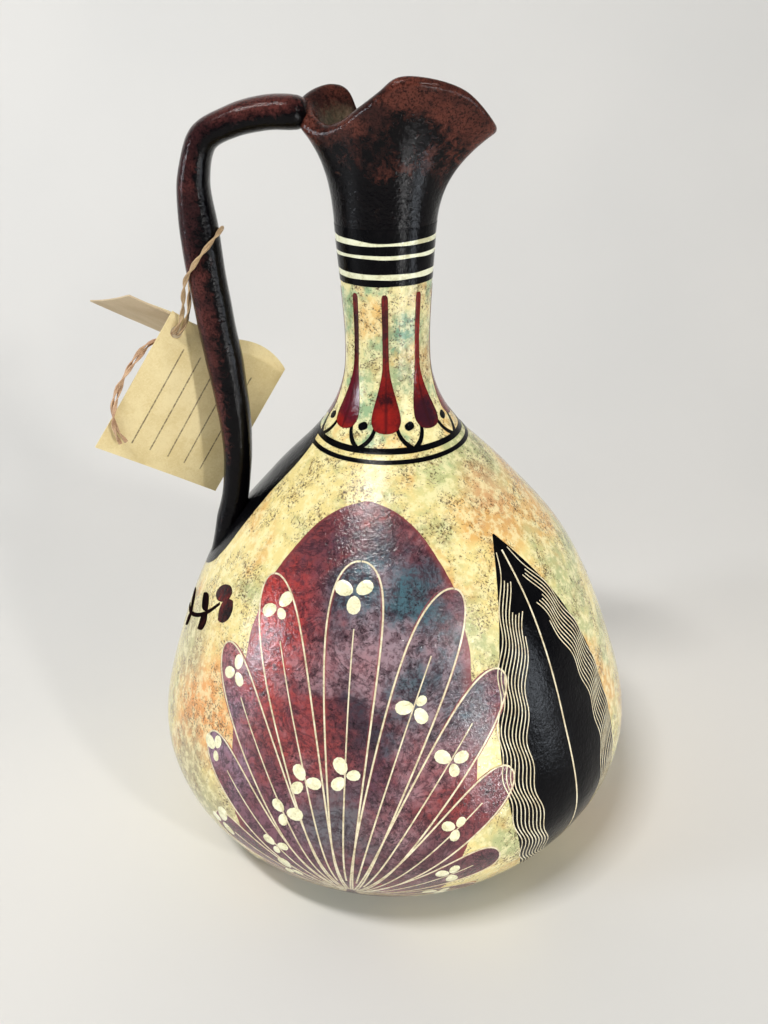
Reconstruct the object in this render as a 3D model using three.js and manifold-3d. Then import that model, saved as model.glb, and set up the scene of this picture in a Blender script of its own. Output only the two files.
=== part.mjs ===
// A painted earthenware wine jug with a pinched, beaked mouth, a pulled handle and a paper tag on twine.
// Millimetres, +Z up. The origin is on the jug's axis where its foot stands on the table.
// +X points towards the spout, and the handle stands on the -X side.
import * as THREE from "three";
import { mergeVertices } from "three/addons/utils/BufferGeometryUtils.js";
import Module from "manifold-3d";

// Outline of the thrown body: outside radii, each with its rise above the one before
const footRadius = 53;
const lowBellyRadius = 72;
const lowBellyRise = 13.5;
const bellyRadius = 83.8;
const bellyRise = 27;
const highBellyRadius = 75.5;
const highBellyRise = 33.5;
const shoulderRadius = 61.2;
const shoulderRise = 31;
const capRadius = 40.8;
const capRise = 24.8;
const neckRootRadius = 23.2;
const neckRootRise = 18;
const neckSweepRadius = 15;
const neckSweepRise = 14;
const neckRadius = 13;
const neckRise = 16;
const throatRadius = 14.8;
const throatRise = 31;

// Walls, and the thin line of slip between two pieces that were thrown apart
const bellyWall = 5;
const floorThickness = 6;
const neckWall = 4;
const mouthWall = 3.4;
const luteGap = 0.3;

// Pinched rim, once round from the spout: turn in degrees, reach from the axis, rise above the throat
const rimBackReach = 23;
const rimBackRise = 33.6;
const rimLine = [
  [-8, 31.3, 28.6],
  [-35, 27, 37.2],
  [-62, 23.2, 40.5],
  [-80, 21.6, 40.4],
  [-94, 20, 37.2],
  [-115, 18, 33.4],
  [-138, 17.5, 30],
  [-155, 19, 28.2],
  [-170, 22, 30.2],
  [-182, rimBackReach, rimBackRise],
  [-196, 22, 36.8],
  [-213, 19.6, 38.4],
  [-226, 18.2, 37.4],
  [-236, 17.2, 32.3],
  [-251, 16.5, 27.3],
  [-285, 19.3, 31],
  [-315, 23, 36.4],
  [-340, 27.5, 33.6],
];

// Flare of the mouth's wall: the share of it that starts at the throat, how late the rest comes,
// and how much of the wall rounds over at the lip
const flareStart = 0.16;
const flarePower = 2.7;
const lipRound = 0.3;

// Pulled handle: how far its grip stands from the axis, where it leaves the mouth and where it lands
const handleReach = 54.4;
const archBelowRim = 1.2;
const rootBelowNeck = 49.3;
const tipBury = 1.2;
const archThickness = 8.3;
const gripThickness = 11.2;
const heelThickness = 8.8;
const tipThickness = 2.2;
const handleWidth = 12;
const tipWidth = 6;

// Bend from the mouth to the grip, as shares of how far it reaches in and how far it drops
const elbowReach = 22;
const elbowDrop = 17;
const elbowLine = [
  [1, 0.059],
  [0.591, 0.141],
  [0.227, 0.382],
  [0.041, 1],
];

// Grip and heel: shares of the grip's lean towards the neck, at shares of the way from elbow to root
const gripLean = 4.8;
const gripLine = [
  [0, 0.103],
  [0.333, 0.294],
  [0.792, 0.469],
  [1, 0.602],
  [0.708, 0.745],
  [-0.083, 0.865],
];

// Section along the handle: share of its length, thickness in its plane, width across it
const handleStations = [
  [0, archThickness, handleWidth],
  [0.2, archThickness, handleWidth],
  [0.34, gripThickness, handleWidth],
  [0.55, gripThickness, handleWidth],
  [0.78, heelThickness, handleWidth],
  [0.88, heelThickness, handleWidth],
  [1, tipThickness, tipWidth],
];

// Folded paper tag: the corner of its fold, how it hangs, and its two leaves
const tagBeyondGrip = 12.4;
const tagBehindGrip = 1.4;
const tagBelowArch = 56.1;
const tagYaw = 17.9;
const tagRoll = 33;
const tagLean = 4.1;
const tagLength = 49.5;
const frontLeafWidth = 41.5;
const rearLeafOverhang = 13;
const cardThickness = 0.5;
const foldClearance = 0.4;
const leafOpening = 64;
const holeFromEdge = 4.3;
const holeFromFold = 4.6;
const holeRadius = 1.9;

// Twine: one strand round the handle, and a tail of two strands twisted together
const twineDiameter = 1.4;
const tailDiameter = 2.4;
const twineSides = 8;
const twineSteps = 34;
const tailSteps = 18;

// Route of the loop, from the grip's furthest line at the tag's height:
// from behind the tag's hole, round the handle and back
const loopRoute = [
  [-12.7, 3.3, -5.9],
  [-12.1, 1.7, -5.75],
  [-10.9, 0.4, -4.85],
  [-9.4, 0.3, -2.7],
  [-7.9, -0.7, 0.7],
  [-6.6, -2.8, 5.5],
  [-4.9, -4.7, 11.3],
  [-2, -6.5, 15.5],
  [1.8, -6.6, 19.9],
  [5.2, -4.3, 23.5],
  [6.7, 0, 25.3],
  [5.2, 4.3, 23.9],
  [1.8, 6.6, 20.5],
  [-2, 6.4, 15.9],
  [-4.8, 4.6, 11.5],
  [-5.8, 2.7, 5.7],
  [-6.4, 1.3, 0.5],
  [-8.2, 0.8, -3.6],
  [-9.7, 0.85, -5.75],
  [-10.8, 2.2, -6.65],
  [-11.5, 3.8, -6.8],
];

// Route of the tail, in the tag's frame: along the fold, away from the front leaf, up from the fold
const tailRoute = [
  [4.1, 2.6, -6.2],
  [2.4, 2.8, -8.6],
  [-0.6, 2.4, -11.8],
  [-2.7, 1, -18.5],
  [-3.6, -0.6, -25.8],
  [-3.2, -2, -32],
  [-1.6, -2.9, -37],
  [1.2, -3.3, -41],
  [5, -3.2, -43.9],
];

// Facets
const bellyFacets = 56;
const neckFacets = 40;
const mouthFacets = 56;
const handleSides = 14;
const handleSteps = 34;
const holeSteps = 8;
const outlineSteps = 200;
const bowlSteps = 9;
const upperSteps = 15;
const neckSteps = 13;
const cutterSteps = 60;

// Rings up the mouth's wall, as shares of its height
const mouthShares = [0, 0.2, 0.38, 0.54, 0.68, 0.8, 0.9, 0.96];

const wasm = await Module();
wasm.setup();

const finishes = {
  mottledGround: new THREE.MeshStandardMaterial({ color: 0xb9a878, roughness: 0.35, metalness: 0 }),
  palmetteWash: new THREE.MeshStandardMaterial({ color: 0x7c4348, roughness: 0.35, metalness: 0 }),
  neckCream: new THREE.MeshStandardMaterial({ color: 0xc9c095, roughness: 0.35, metalness: 0 }),
  rustBlack: new THREE.MeshStandardMaterial({ color: 0x2c1613, roughness: 0.3, metalness: 0 }),
  handleRust: new THREE.MeshStandardMaterial({ color: 0x33191a, roughness: 0.3, metalness: 0 }),
  card: new THREE.MeshStandardMaterial({ color: 0xd6c890, roughness: 0.8, metalness: 0 }),
  cardInside: new THREE.MeshStandardMaterial({ color: 0xb9aa97, roughness: 0.8, metalness: 0 }),
  twine: new THREE.MeshStandardMaterial({ color: 0xa98a66, roughness: 0.95, metalness: 0 }),
};

// The jug's outline from foot to throat, as one smooth curve of (radius, height)
const outlineKnots = [];
let knotHeight = 0;
for (const [radius, rise] of [
  [footRadius, 0],
  [lowBellyRadius, lowBellyRise],
  [bellyRadius, bellyRise],
  [highBellyRadius, highBellyRise],
  [shoulderRadius, shoulderRise],
  [capRadius, capRise],
  [neckRootRadius, neckRootRise],
  [neckSweepRadius, neckSweepRise],
  [neckRadius, neckRise],
  [throatRadius, throatRise],
]) {
  knotHeight += rise;
  outlineKnots.push(new THREE.Vector2(radius, knotHeight));
}
const bellyHeight = outlineKnots[2].y;
const neckRootHeight = outlineKnots[6].y;
const throatHeight = outlineKnots[9].y;
const outline = new THREE.SplineCurve(outlineKnots).getPoints(outlineSteps);

// Outline point at a height, moved square to the surface: outwards for a positive offset
function outlinePoint(height, offset = 0) {
  let step = 1;
  while (step < outlineSteps && outline[step].y < height) {
    step += 1;
  }
  const low = outline[step - 1];
  const high = outline[step];
  const share = (height - low.y) / (high.y - low.y);
  const along = high.clone().sub(low).normalize();
  return new THREE.Vector2(along.y, -along.x)
    .multiplyScalar(offset)
    .add(low.clone().lerp(high, share));
}

// Outline points between two heights, in even steps of height
function outlineRun(from, to, steps, offset = 0) {
  const points = [];
  for (let step = 0; step <= steps; step += 1) {
    points.push(outlinePoint(from + ((to - from) * step) / steps, offset));
  }
  return points;
}

// A profile of (radius, height) turned once about the jug's axis
function turned(profile, facets) {
  return new THREE.LatheGeometry(profile, facets).rotateX(Math.PI / 2);
}

// Rings of points joined side by side, closed on itself or with a cap on each end
function ringSurface(rings, closed) {
  const around = rings[0].length;
  const points = rings.flat();
  const faces = [];
  const spans = closed ? rings.length : rings.length - 1;
  for (let ring = 0; ring < spans; ring += 1) {
    const next = (ring + 1) % rings.length;
    for (let side = 0; side < around; side += 1) {
      const beside = (side + 1) % around;
      const here = ring * around + side;
      const right = ring * around + beside;
      const above = next * around + side;
      const across = next * around + beside;
      faces.push(here, right, across, here, across, above);
    }
  }
  if (!closed) {
    for (const [ring, outward] of [[0, false], [rings.length - 1, true]]) {
      const middle = new THREE.Vector3();
      rings[ring].forEach((point) => middle.addScaledVector(point, 1 / around));
      points.push(middle);
      for (let side = 0; side < around; side += 1) {
        const here = ring * around + side;
        const beside = ring * around + ((side + 1) % around);
        faces.push(points.length - 1, outward ? here : beside, outward ? beside : here);
      }
    }
  }
  return new THREE.BufferGeometry().setFromPoints(points).setIndex(faces);
}

// A closed geometry as a solid that can be cut
function solidOf(geometry) {
  const bare = geometry.clone();
  bare.deleteAttribute("normal");
  bare.deleteAttribute("uv");
  const merged = mergeVertices(bare);
  return new wasm.Manifold(
    new wasm.Mesh({
      numProp: 3,
      vertProperties: merged.attributes.position.array,
      triVerts: new Uint32Array(merged.index.array),
    }),
  );
}

function geometryOf(solid) {
  const mesh = solid.getMesh();
  const geometry = new THREE.BufferGeometry();
  geometry.setAttribute("position", new THREE.BufferAttribute(mesh.vertProperties, 3));
  return geometry.setIndex(new THREE.BufferAttribute(mesh.triVerts, 1));
}

function named(name, geometry, material) {
  const mesh = new THREE.Mesh(geometry, material);
  mesh.name = name;
  return mesh;
}

// Lower half of the belly: a thrown bowl with a flat floor
function lowerBelly() {
  const outside = outlineRun(0, bellyHeight, bowlSteps);
  const inside = outlineRun(bellyHeight, floorThickness, bowlSteps, -bellyWall);
  inside[0].y = bellyHeight;
  const floorEdge = new THREE.Vector2(inside.at(-1).x - bellyWall, floorThickness);
  inside.pop();
  const profile = [new THREE.Vector2(0, 0), ...outside, ...inside, floorEdge];
  profile.push(new THREE.Vector2(0, floorThickness));
  return turned(profile, bellyFacets);
}

// Upper half of the belly, luted on at the widest line and drawn in to the neck
function upperBelly() {
  const base = bellyHeight + luteGap;
  const outside = outlineRun(base, neckRootHeight, upperSteps);
  const inside = outlineRun(neckRootHeight - bellyWall, base, upperSteps, -bellyWall);
  inside[inside.length - 1].y = base;
  const mouthEdge = new THREE.Vector2(neckRootRadius - neckWall, neckRootHeight);
  return turned([...outside, mouthEdge, ...inside, outside[0].clone()], bellyFacets);
}

function neckTube() {
  const base = neckRootHeight + luteGap;
  const outside = outlineRun(base, throatHeight, neckSteps);
  const inside = outside.map((point) => new THREE.Vector2(point.x - neckWall, point.y)).reverse();
  return turned([...outside, ...inside, outside[0].clone()], neckFacets);
}

// The rim as a closed curve, and the mouth's outer surface between the throat and the rim
const throatTop = throatHeight + luteGap;
const rimCurve = new THREE.CatmullRomCurve3(
  rimLine.map(([turn, reach, rise]) => {
    const angle = THREE.MathUtils.degToRad(turn);
    return new THREE.Vector3(reach * Math.cos(angle), reach * Math.sin(angle), throatHeight + rise);
  }),
  true,
);
const rimPoints = rimCurve.getSpacedPoints(mouthFacets).slice(0, mouthFacets).reverse();

function mouthRing(share, inset) {
  return rimPoints.map((rim) => {
    const rimReach = Math.hypot(rim.x, rim.y);
    const angle = Math.atan2(rim.y, rim.x);
    const flare = flareStart * share + (1 - flareStart) * share ** flarePower;
    const reach = throatRadius + (rimReach - throatRadius) * flare - inset;
    const height = throatTop + (rim.z - throatTop) * share;
    return new THREE.Vector3(reach * Math.cos(angle), reach * Math.sin(angle), height);
  });
}

// Beaked mouth: outer wall up, round the lip, inner wall down
function beakedMouth() {
  const outer = mouthShares.map((share) => mouthRing(share, 0));
  const lip = [mouthRing(1, mouthWall * lipRound), mouthRing(1, mouthWall * (1 - lipRound))];
  const inner = mouthShares.map((share) => mouthRing(share, mouthWall)).reverse();
  return ringSurface([...outer, ...lip, ...inner], true);
}

// What the handle is cut back from: the jug's outside with the line of slip added
function jugCutter() {
  const run = outlineRun(0, throatHeight, cutterSteps, luteGap);
  const profile = [new THREE.Vector2(0, 0), ...run, new THREE.Vector2(0, throatHeight)];
  return solidOf(turned(profile, bellyFacets));
}

function mouthCutter() {
  const rings = mouthShares.map((share) => mouthRing(share, -luteGap));
  const rim = mouthRing(1, -luteGap);
  const raised = rim.map((point) => point.clone().setZ(point.z + archThickness));
  return solidOf(ringSurface([...rings, rim, raised], false));
}

// Centreline of the pulled handle, from inside the mouth's wall to a tip smeared on the shoulder
const archHeight = throatHeight + rimBackRise - archBelowRim;
const rootHeight = neckRootHeight - rootBelowNeck;
const elbowHeight = archHeight - elbowDrop;
const handleCurve = new THREE.CatmullRomCurve3([
  new THREE.Vector3(mouthWall - rimBackReach, 0, archHeight),
  ...elbowLine.map(([inward, drop]) => {
    const height = archHeight - elbowDrop * drop;
    return new THREE.Vector3(elbowReach * inward - handleReach, 0, height);
  }),
  ...gripLine.map(([inward, share]) => {
    const height = THREE.MathUtils.lerp(elbowHeight, rootHeight, share);
    return new THREE.Vector3(gripLean * inward - handleReach, 0, height);
  }),
  new THREE.Vector3(tipBury - outlinePoint(rootHeight).x, 0, rootHeight),
]);

// The handle's thickness and width at a share of its length, eased from station to station
function handleSection(share) {
  let upper = 1;
  while (handleStations[upper][0] < share) {
    upper += 1;
  }
  const [from, thickFrom, wideFrom] = handleStations[upper - 1];
  const [to, thickTo, wideTo] = handleStations[upper];
  const blend = THREE.MathUtils.smoothstep(share, from, to);
  return {
    thickness: THREE.MathUtils.lerp(thickFrom, thickTo, blend),
    width: THREE.MathUtils.lerp(wideFrom, wideTo, blend),
  };
}

function handle() {
  const across = new THREE.Vector3(0, 1, 0);
  const rings = [];
  for (let step = 0; step <= handleSteps; step += 1) {
    const share = step / handleSteps;
    const middle = handleCurve.getPointAt(share);
    const outward = across.clone().cross(handleCurve.getTangentAt(share));
    const { thickness, width } = handleSection(share);
    const ring = [];
    for (let side = 0; side < handleSides; side += 1) {
      const angle = (2 * Math.PI * side) / handleSides;
      const point = middle.clone().addScaledVector(outward, (thickness / 2) * Math.cos(angle));
      ring.push(point.addScaledVector(across, (width / 2) * Math.sin(angle)));
    }
    rings.push(ring);
  }
  const pulled = solidOf(ringSurface(rings, false));
  return geometryOf(pulled.subtract(jugCutter()).subtract(mouthCutter()));
}

// One leaf of the tag, hanging from its fold with the twine's hole near one corner
function leaf(left, right) {
  const shape = new THREE.Shape();
  shape.moveTo(left, -foldClearance);
  shape.lineTo(left, -tagLength);
  shape.lineTo(right, -tagLength);
  shape.lineTo(right, -foldClearance);
  shape.closePath();
  const hole = new THREE.Path();
  hole.absarc(holeFromEdge, -holeFromFold, holeRadius, 0, 2 * Math.PI, true);
  shape.holes.push(hole);
  const plate = new THREE.ExtrudeGeometry(shape, {
    depth: cardThickness,
    bevelEnabled: false,
    curveSegments: holeSteps,
  });
  return plate.rotateX(Math.PI / 2);
}

// A round tube along hand-chosen points
function twineTube(route, diameter, steps) {
  const section = new THREE.Shape();
  for (let side = 0; side < twineSides; side += 1) {
    const angle = (2 * Math.PI * side) / twineSides;
    const x = (diameter / 2) * Math.cos(angle);
    const y = (diameter / 2) * Math.sin(angle);
    if (side === 0) {
      section.moveTo(x, y);
    } else {
      section.lineTo(x, y);
    }
  }
  section.closePath();
  const path = new THREE.CatmullRomCurve3(route.map((point) => new THREE.Vector3(...point)));
  return new THREE.ExtrudeGeometry(section, { steps, extrudePath: path });
}

const jug = new THREE.Group();
jug.add(
  named("lower_belly", lowerBelly(), finishes.palmetteWash),
  named("upper_belly", upperBelly(), finishes.mottledGround),
  named("neck_tube", neckTube(), finishes.neckCream),
  named("beaked_mouth", beakedMouth(), finishes.rustBlack),
  named("handle", handle(), finishes.handleRust),
);

const frontLeaf = named("tag_front_leaf", leaf(0, frontLeafWidth), finishes.card);
const rearLeaf = named("tag_rear_leaf", leaf(-rearLeafOverhang, frontLeafWidth), finishes.cardInside);
rearLeaf.position.y = cardThickness;
const rearFold = new THREE.Group();
rearFold.rotation.x = THREE.MathUtils.degToRad(leafOpening);
rearFold.add(rearLeaf);

const tag = new THREE.Group();
tag.position.set(-tagBeyondGrip, tagBehindGrip, 0);
tag.rotation.set(
  THREE.MathUtils.degToRad(tagLean),
  THREE.MathUtils.degToRad(tagRoll),
  THREE.MathUtils.degToRad(tagYaw),
  "ZXY",
);
tag.add(
  frontLeaf,
  rearFold,
  named("twine_tail", twineTube(tailRoute, tailDiameter, tailSteps), finishes.twine),
);

// Tag and loop hang together from the grip
const hung = new THREE.Group();
hung.position.set(-handleReach, 0, archHeight - tagBelowArch);
hung.add(tag, named("twine_loop", twineTube(loopRoute, twineDiameter, twineSteps), finishes.twine));

const part = new THREE.Group();
part.add(jug, hung);

export default part;
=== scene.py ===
import math

import bmesh
import bpy
from mathutils import Matrix, Vector, noise


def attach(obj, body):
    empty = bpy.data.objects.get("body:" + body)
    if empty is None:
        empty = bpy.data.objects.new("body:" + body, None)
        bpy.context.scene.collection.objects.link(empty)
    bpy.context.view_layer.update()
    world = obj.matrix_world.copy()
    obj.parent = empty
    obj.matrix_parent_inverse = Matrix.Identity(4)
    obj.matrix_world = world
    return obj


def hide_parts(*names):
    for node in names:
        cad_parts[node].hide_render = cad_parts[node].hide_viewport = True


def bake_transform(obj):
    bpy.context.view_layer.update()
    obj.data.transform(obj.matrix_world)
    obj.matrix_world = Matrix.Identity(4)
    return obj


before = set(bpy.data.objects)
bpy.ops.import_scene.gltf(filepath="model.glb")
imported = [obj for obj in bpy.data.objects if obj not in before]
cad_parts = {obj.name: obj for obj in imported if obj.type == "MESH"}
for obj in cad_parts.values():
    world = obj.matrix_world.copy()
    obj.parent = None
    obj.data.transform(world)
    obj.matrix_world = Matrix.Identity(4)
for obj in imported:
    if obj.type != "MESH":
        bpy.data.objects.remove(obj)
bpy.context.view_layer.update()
mm = 0.001


# Camera at the photograph's viewing angle
view = {
    "place": (0.0, -0.266, 0.2553),
    "tilt": 27.65,     # degrees down from level
    "turn": -0.5,
    "roll": -1.32,
    "lens": 30.94,
    "sensor": 36.0,
    "near": 0.01,
}


def placeCamera():
    tilt, turn, roll = (math.radians(view[name]) for name in ("tilt", "turn", "roll"))
    level = Vector((math.cos(turn), -math.sin(turn), 0))
    ahead = Vector((math.cos(tilt) * math.sin(turn), math.cos(tilt) * math.cos(turn), -math.sin(tilt)))
    down = level.cross(ahead) * -1
    right = level * math.cos(roll) - down * math.sin(roll)
    up = (level * math.sin(roll) + down * math.cos(roll)) * -1
    data = bpy.data.cameras.new("photo_view")
    data.lens = view["lens"]
    data.sensor_width = view["sensor"]
    data.clip_start = view["near"]
    camera = bpy.data.objects.new("photo_view", data)
    axes = Matrix((right, up, -ahead)).transposed().to_4x4()
    camera.matrix_world = Matrix.Translation(view["place"]) @ axes
    bpy.context.scene.collection.objects.link(camera)
    bpy.context.scene.camera = camera


placeCamera()
print("camera placed")


# Lines through chosen points
def smoothPath(knots, steps, closed=False, even=False):
    # Smooth stretches from knot to knot: evenly spaced with held ends, or spaced by distance
    points = [Vector(knot) for knot in knots]
    count = len(points)
    path = []
    for place in range(count if closed else count - 1):
        start, end = points[place], points[(place + 1) % count]
        before = points[place - 1] if place or closed else (start if even else start * 2 - end)
        last = not closed and place + 2 == count
        after = points[(place + 2) % count] if not last else (end if even else end * 2 - start)
        if even:
            leave, arrive = (end - before) / 2, (after - start) / 2
        else:
            first = math.sqrt((start - before).length)
            middle = math.sqrt((end - start).length)
            final = math.sqrt((after - end).length)
            leave = (start - before) / first - (end - before) / (first + middle) + (end - start) / middle
            arrive = (end - start) / middle - (after - start) / (middle + final) + (after - end) / final
            leave, arrive = leave * middle, arrive * middle
        for step in range(steps):
            t = step / steps
            path.append(
                start * (2 * t**3 - 3 * t**2 + 1)
                + leave * (t**3 - 2 * t**2 + t)
                + end * (3 * t**2 - 2 * t**3)
                + arrive * (t**3 - t**2)
            )
    if not closed:
        path.append(points[-1].copy())
    return path


def pathLengths(path):
    lengths = [0.0]
    for before, point in zip(path, path[1:]):
        lengths.append(lengths[-1] + (point - before).length)
    return lengths


def evenPath(path, count):
    # The same line in equal steps
    lengths = pathLengths(path)
    result = []
    place = 0
    for step in range(count + 1):
        wanted = lengths[-1] * step / count
        while place < len(path) - 2 and lengths[place + 1] < wanted:
            place += 1
        share = (wanted - lengths[place]) / max(lengths[place + 1] - lengths[place], 1e-12)
        result.append(path[place].lerp(path[place + 1], share))
    return result


def tableValue(table, x):
    # Eased value between the rows of a table of (x, value)
    if x <= table[0][0]:
        return table[0][1]
    for (low, lowValue), (high, highValue) in zip(table, table[1:]):
        if x <= high:
            share = (x - low) / (high - low)
            return lowValue + (highValue - lowValue) * share * share * (3 - 2 * share)
    return table[-1][1]


# Meshes and objects
def newObject(name, data):
    piece = bpy.data.objects.new(name, data)
    bpy.context.scene.collection.objects.link(piece)
    return piece


def meshPiece(name, points, faces, material):
    mesh = bpy.data.meshes.new(name)
    mesh.from_pydata([tuple(point) for point in points], [], faces)
    mesh.polygons.foreach_set("use_smooth", [True] * len(mesh.polygons))
    mesh.materials.append(material)
    mesh.update()
    return newObject(name, mesh)


def ringFaces(rings, around, closed=False):
    # Quads between rings of points that follow one another
    faces = []
    for ring in range(rings if closed else rings - 1):
        above = (ring + 1) % rings
        for side in range(around):
            beside = (side + 1) % around
            faces.append((
                ring * around + side,
                ring * around + beside,
                above * around + beside,
                above * around + side,
            ))
    return faces


def outwardNormals(piece):
    work = bmesh.new()
    work.from_mesh(piece.data)
    bmesh.ops.recalc_face_normals(work, faces=work.faces)
    work.to_mesh(piece.data)
    work.free()


def pointValues(piece, name, values):
    piece.data.attributes.new(name, "FLOAT", "POINT").data.foreach_set("value", values)


# Node trees
def feed(tree, socket, value):
    # A link into a socket, or its fixed value
    if isinstance(value, bpy.types.NodeSocket):
        tree.links.new(value, socket)
    else:
        socket.default_value = value


def put(tree, kind, inputs=None, **settings):
    # One node, its settings, and what goes into its sockets
    node = tree.nodes.new(kind)
    for name, value in settings.items():
        setattr(node, name, value)
    for name, value in (inputs or {}).items():
        feed(tree, node.inputs[name], value)
    return node


def calc(tree, operation, *values):
    return put(tree, "ShaderNodeMath", dict(enumerate(values)), operation=operation).outputs[0]


def times(tree, first, second):
    return calc(tree, "MULTIPLY", first, second)


def scaled(tree, value, factor, base):
    # The value times the factor, on top of the base
    return calc(tree, "MULTIPLY_ADD", value, factor, base)


def split(tree, vector):
    return put(tree, "ShaderNodeSeparateXYZ", {0: vector}).outputs


def joined(tree, x, y, z):
    return put(tree, "ShaderNodeCombineXYZ", {"X": x, "Y": y, "Z": z}).outputs[0]


def ownPlace(tree):
    return put(tree, "GeometryNodeInputPosition").outputs[0]


def newTree(name, kind, inputs, outputs):
    # Each input is a default value or a kind of socket, and each output a kind
    tree = bpy.data.node_groups.new(name, kind)
    for label, value in inputs.items():
        socket = {float: "Float", int: "Int"}.get(type(value), value)
        made = tree.interface.new_socket(label, in_out="INPUT", socket_type="NodeSocket" + socket)
        if socket != value:
            made.default_value = value
    for label, socket in outputs.items():
        tree.interface.new_socket(label, in_out="OUTPUT", socket_type="NodeSocket" + socket)
    return tree, tree.nodes.new("NodeGroupInput").outputs, tree.nodes.new("NodeGroupOutput").inputs


def finishTree(tree, geometry, given, result):
    # The last nodes of a tree: plain geometry with its finish
    whole = put(tree, "GeometryNodeRealizeInstances", {"Geometry": geometry}).outputs[0]
    finished = put(tree, "GeometryNodeSetMaterial", {"Geometry": whole, "Material": given["Finish"]})
    tree.links.new(finished.outputs[0], result["Geometry"])
    return tree


def runTree(source, tree, values, name):
    # The tree's result on the source as a plain mesh piece
    modifier = source.modifiers.new(tree.name, "NODES")
    modifier.node_group = tree
    for item in tree.interface.items_tree:
        if item.in_out == "INPUT" and item.name in values:
            modifier[item.identifier] = values[item.name]
    graph = bpy.context.evaluated_depsgraph_get()
    mesh = bpy.data.meshes.new_from_object(source.evaluated_get(graph), depsgraph=graph)
    source.modifiers.remove(modifier)
    bpy.data.objects.remove(source)
    mesh.name = name
    while mesh.materials[0] is None:     # a node's own mesh brings an empty first slot
        mesh.materials.pop(index=0)
    return newObject(name, mesh)


# Shader groups
def shade(red, green, blue):
    # A screen colour, 0 to 255, as a linear colour
    parts = [value / 255 for value in (red, green, blue)]
    return tuple(v / 12.92 if v <= 0.04045 else ((v + 0.055) / 1.055) ** 2.4 for v in parts) + (1.0,)


def mixColour(tree, share, first, second):
    return put(tree, "ShaderNodeMix", {"Factor": share, 6: first, 7: second}, data_type="RGBA").outputs[2]


def span(tree, value, low, high, start=0.0, end=1.0, kind="SMOOTHSTEP"):
    # The value's place between low and high, as start to end
    limits = {"Value": value, "From Min": low, "From Max": high, "To Min": start, "To Max": end}
    return put(tree, "ShaderNodeMapRange", limits, interpolation_type=kind).outputs["Result"]


def grainNoise(tree, vector, scale, detail=3.0, rough=0.55, bend=0.0):
    grain = {"Vector": vector, "Scale": scale, "Detail": detail, "Roughness": rough, "Distortion": bend}
    return put(tree, "ShaderNodeTexNoise", grain).outputs["Fac"]


def buildVarnish():
    # Thin varnish over a dabbed surface: fine grain that breaks up the shine
    tree, given, result = newTree(
        "varnishGrain", "ShaderNodeTree",
        {"Vector": "Vector", "Grain": 900.0, "Broken": 0.3, "Gloss": 0.22},
        {"Height": "Float", "Roughness": "Float"},
    )
    fine = grainNoise(tree, given["Vector"], given["Grain"], 3.0, 0.65)
    coarse = grainNoise(tree, given["Vector"], times(tree, given["Grain"], 0.22), 2.0)
    sway = grainNoise(tree, given["Vector"], 60.0, 2.0)
    height = scaled(tree, coarse, 0.7, times(tree, fine, 0.6))
    patchy = times(tree, calc(tree, "SUBTRACT", fine, 0.5), given["Broken"])
    drift = scaled(tree, calc(tree, "SUBTRACT", sway, 0.5), 0.16, given["Gloss"])
    tree.links.new(height, result["Height"])
    tree.links.new(calc(tree, "MAXIMUM", calc(tree, "ADD", patchy, drift), 0.06), result["Roughness"])
    return tree


def buildSponge():
    # Dabs of a sponge: soft patches, warm patches, clouds of grain, fine specks and cracks
    tree, given, result = newTree(
        "spongeMottle", "ShaderNodeTree",
        {"Vector": "Vector", "Patch": 30.0, "Speck": 1400.0, "Cover": 0.5},
        {"Patch": "Float", "Warm": "Float", "Cloud": "Float", "Speck": "Float", "Crack": "Float"},
    )
    moved = put(tree, "ShaderNodeVectorMath", {0: given["Vector"], 1: (0.31, 0.17, 0.53)}).outputs[0]
    patch = grainNoise(tree, given["Vector"], given["Patch"], 6.0, 0.62, 0.3)
    warm = grainNoise(tree, moved, times(tree, given["Patch"], 0.8), 4.0, 0.6, 0.4)
    cluster = grainNoise(tree, moved, times(tree, given["Patch"], 3.2), 3.0, 0.6)
    grit = grainNoise(tree, given["Vector"], times(tree, given["Speck"], 0.42), 4.0, 0.7)
    cloud = times(tree, span(tree, cluster, 0.42, 0.62), span(tree, grit, 0.45, 0.64))
    dots = grainNoise(tree, given["Vector"], given["Speck"], 2.0, 0.6)
    crowd = scaled(tree, cluster, 0.6, times(tree, given["Cover"], 0.25))
    level = calc(tree, "SUBTRACT", calc(tree, "ADD", dots, crowd), 0.425)
    speck = span(tree, level, 0.6, 0.68)
    wave = grainNoise(tree, moved, times(tree, given["Speck"], 0.09), 5.0, 0.6, 1.2)
    thread = span(tree, calc(tree, "ABSOLUTE", calc(tree, "SUBTRACT", wave, 0.5)), 0.004, 0.016, 1.0, 0.0)
    broken = times(tree, span(tree, dots, 0.44, 0.54), span(tree, cluster, 0.42, 0.55))
    crack = times(tree, thread, broken)
    made = (("Patch", patch), ("Warm", warm), ("Cloud", cloud), ("Speck", speck), ("Crack", crack))
    for label, socket in made:
        tree.links.new(socket, result[label])
    return tree


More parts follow.
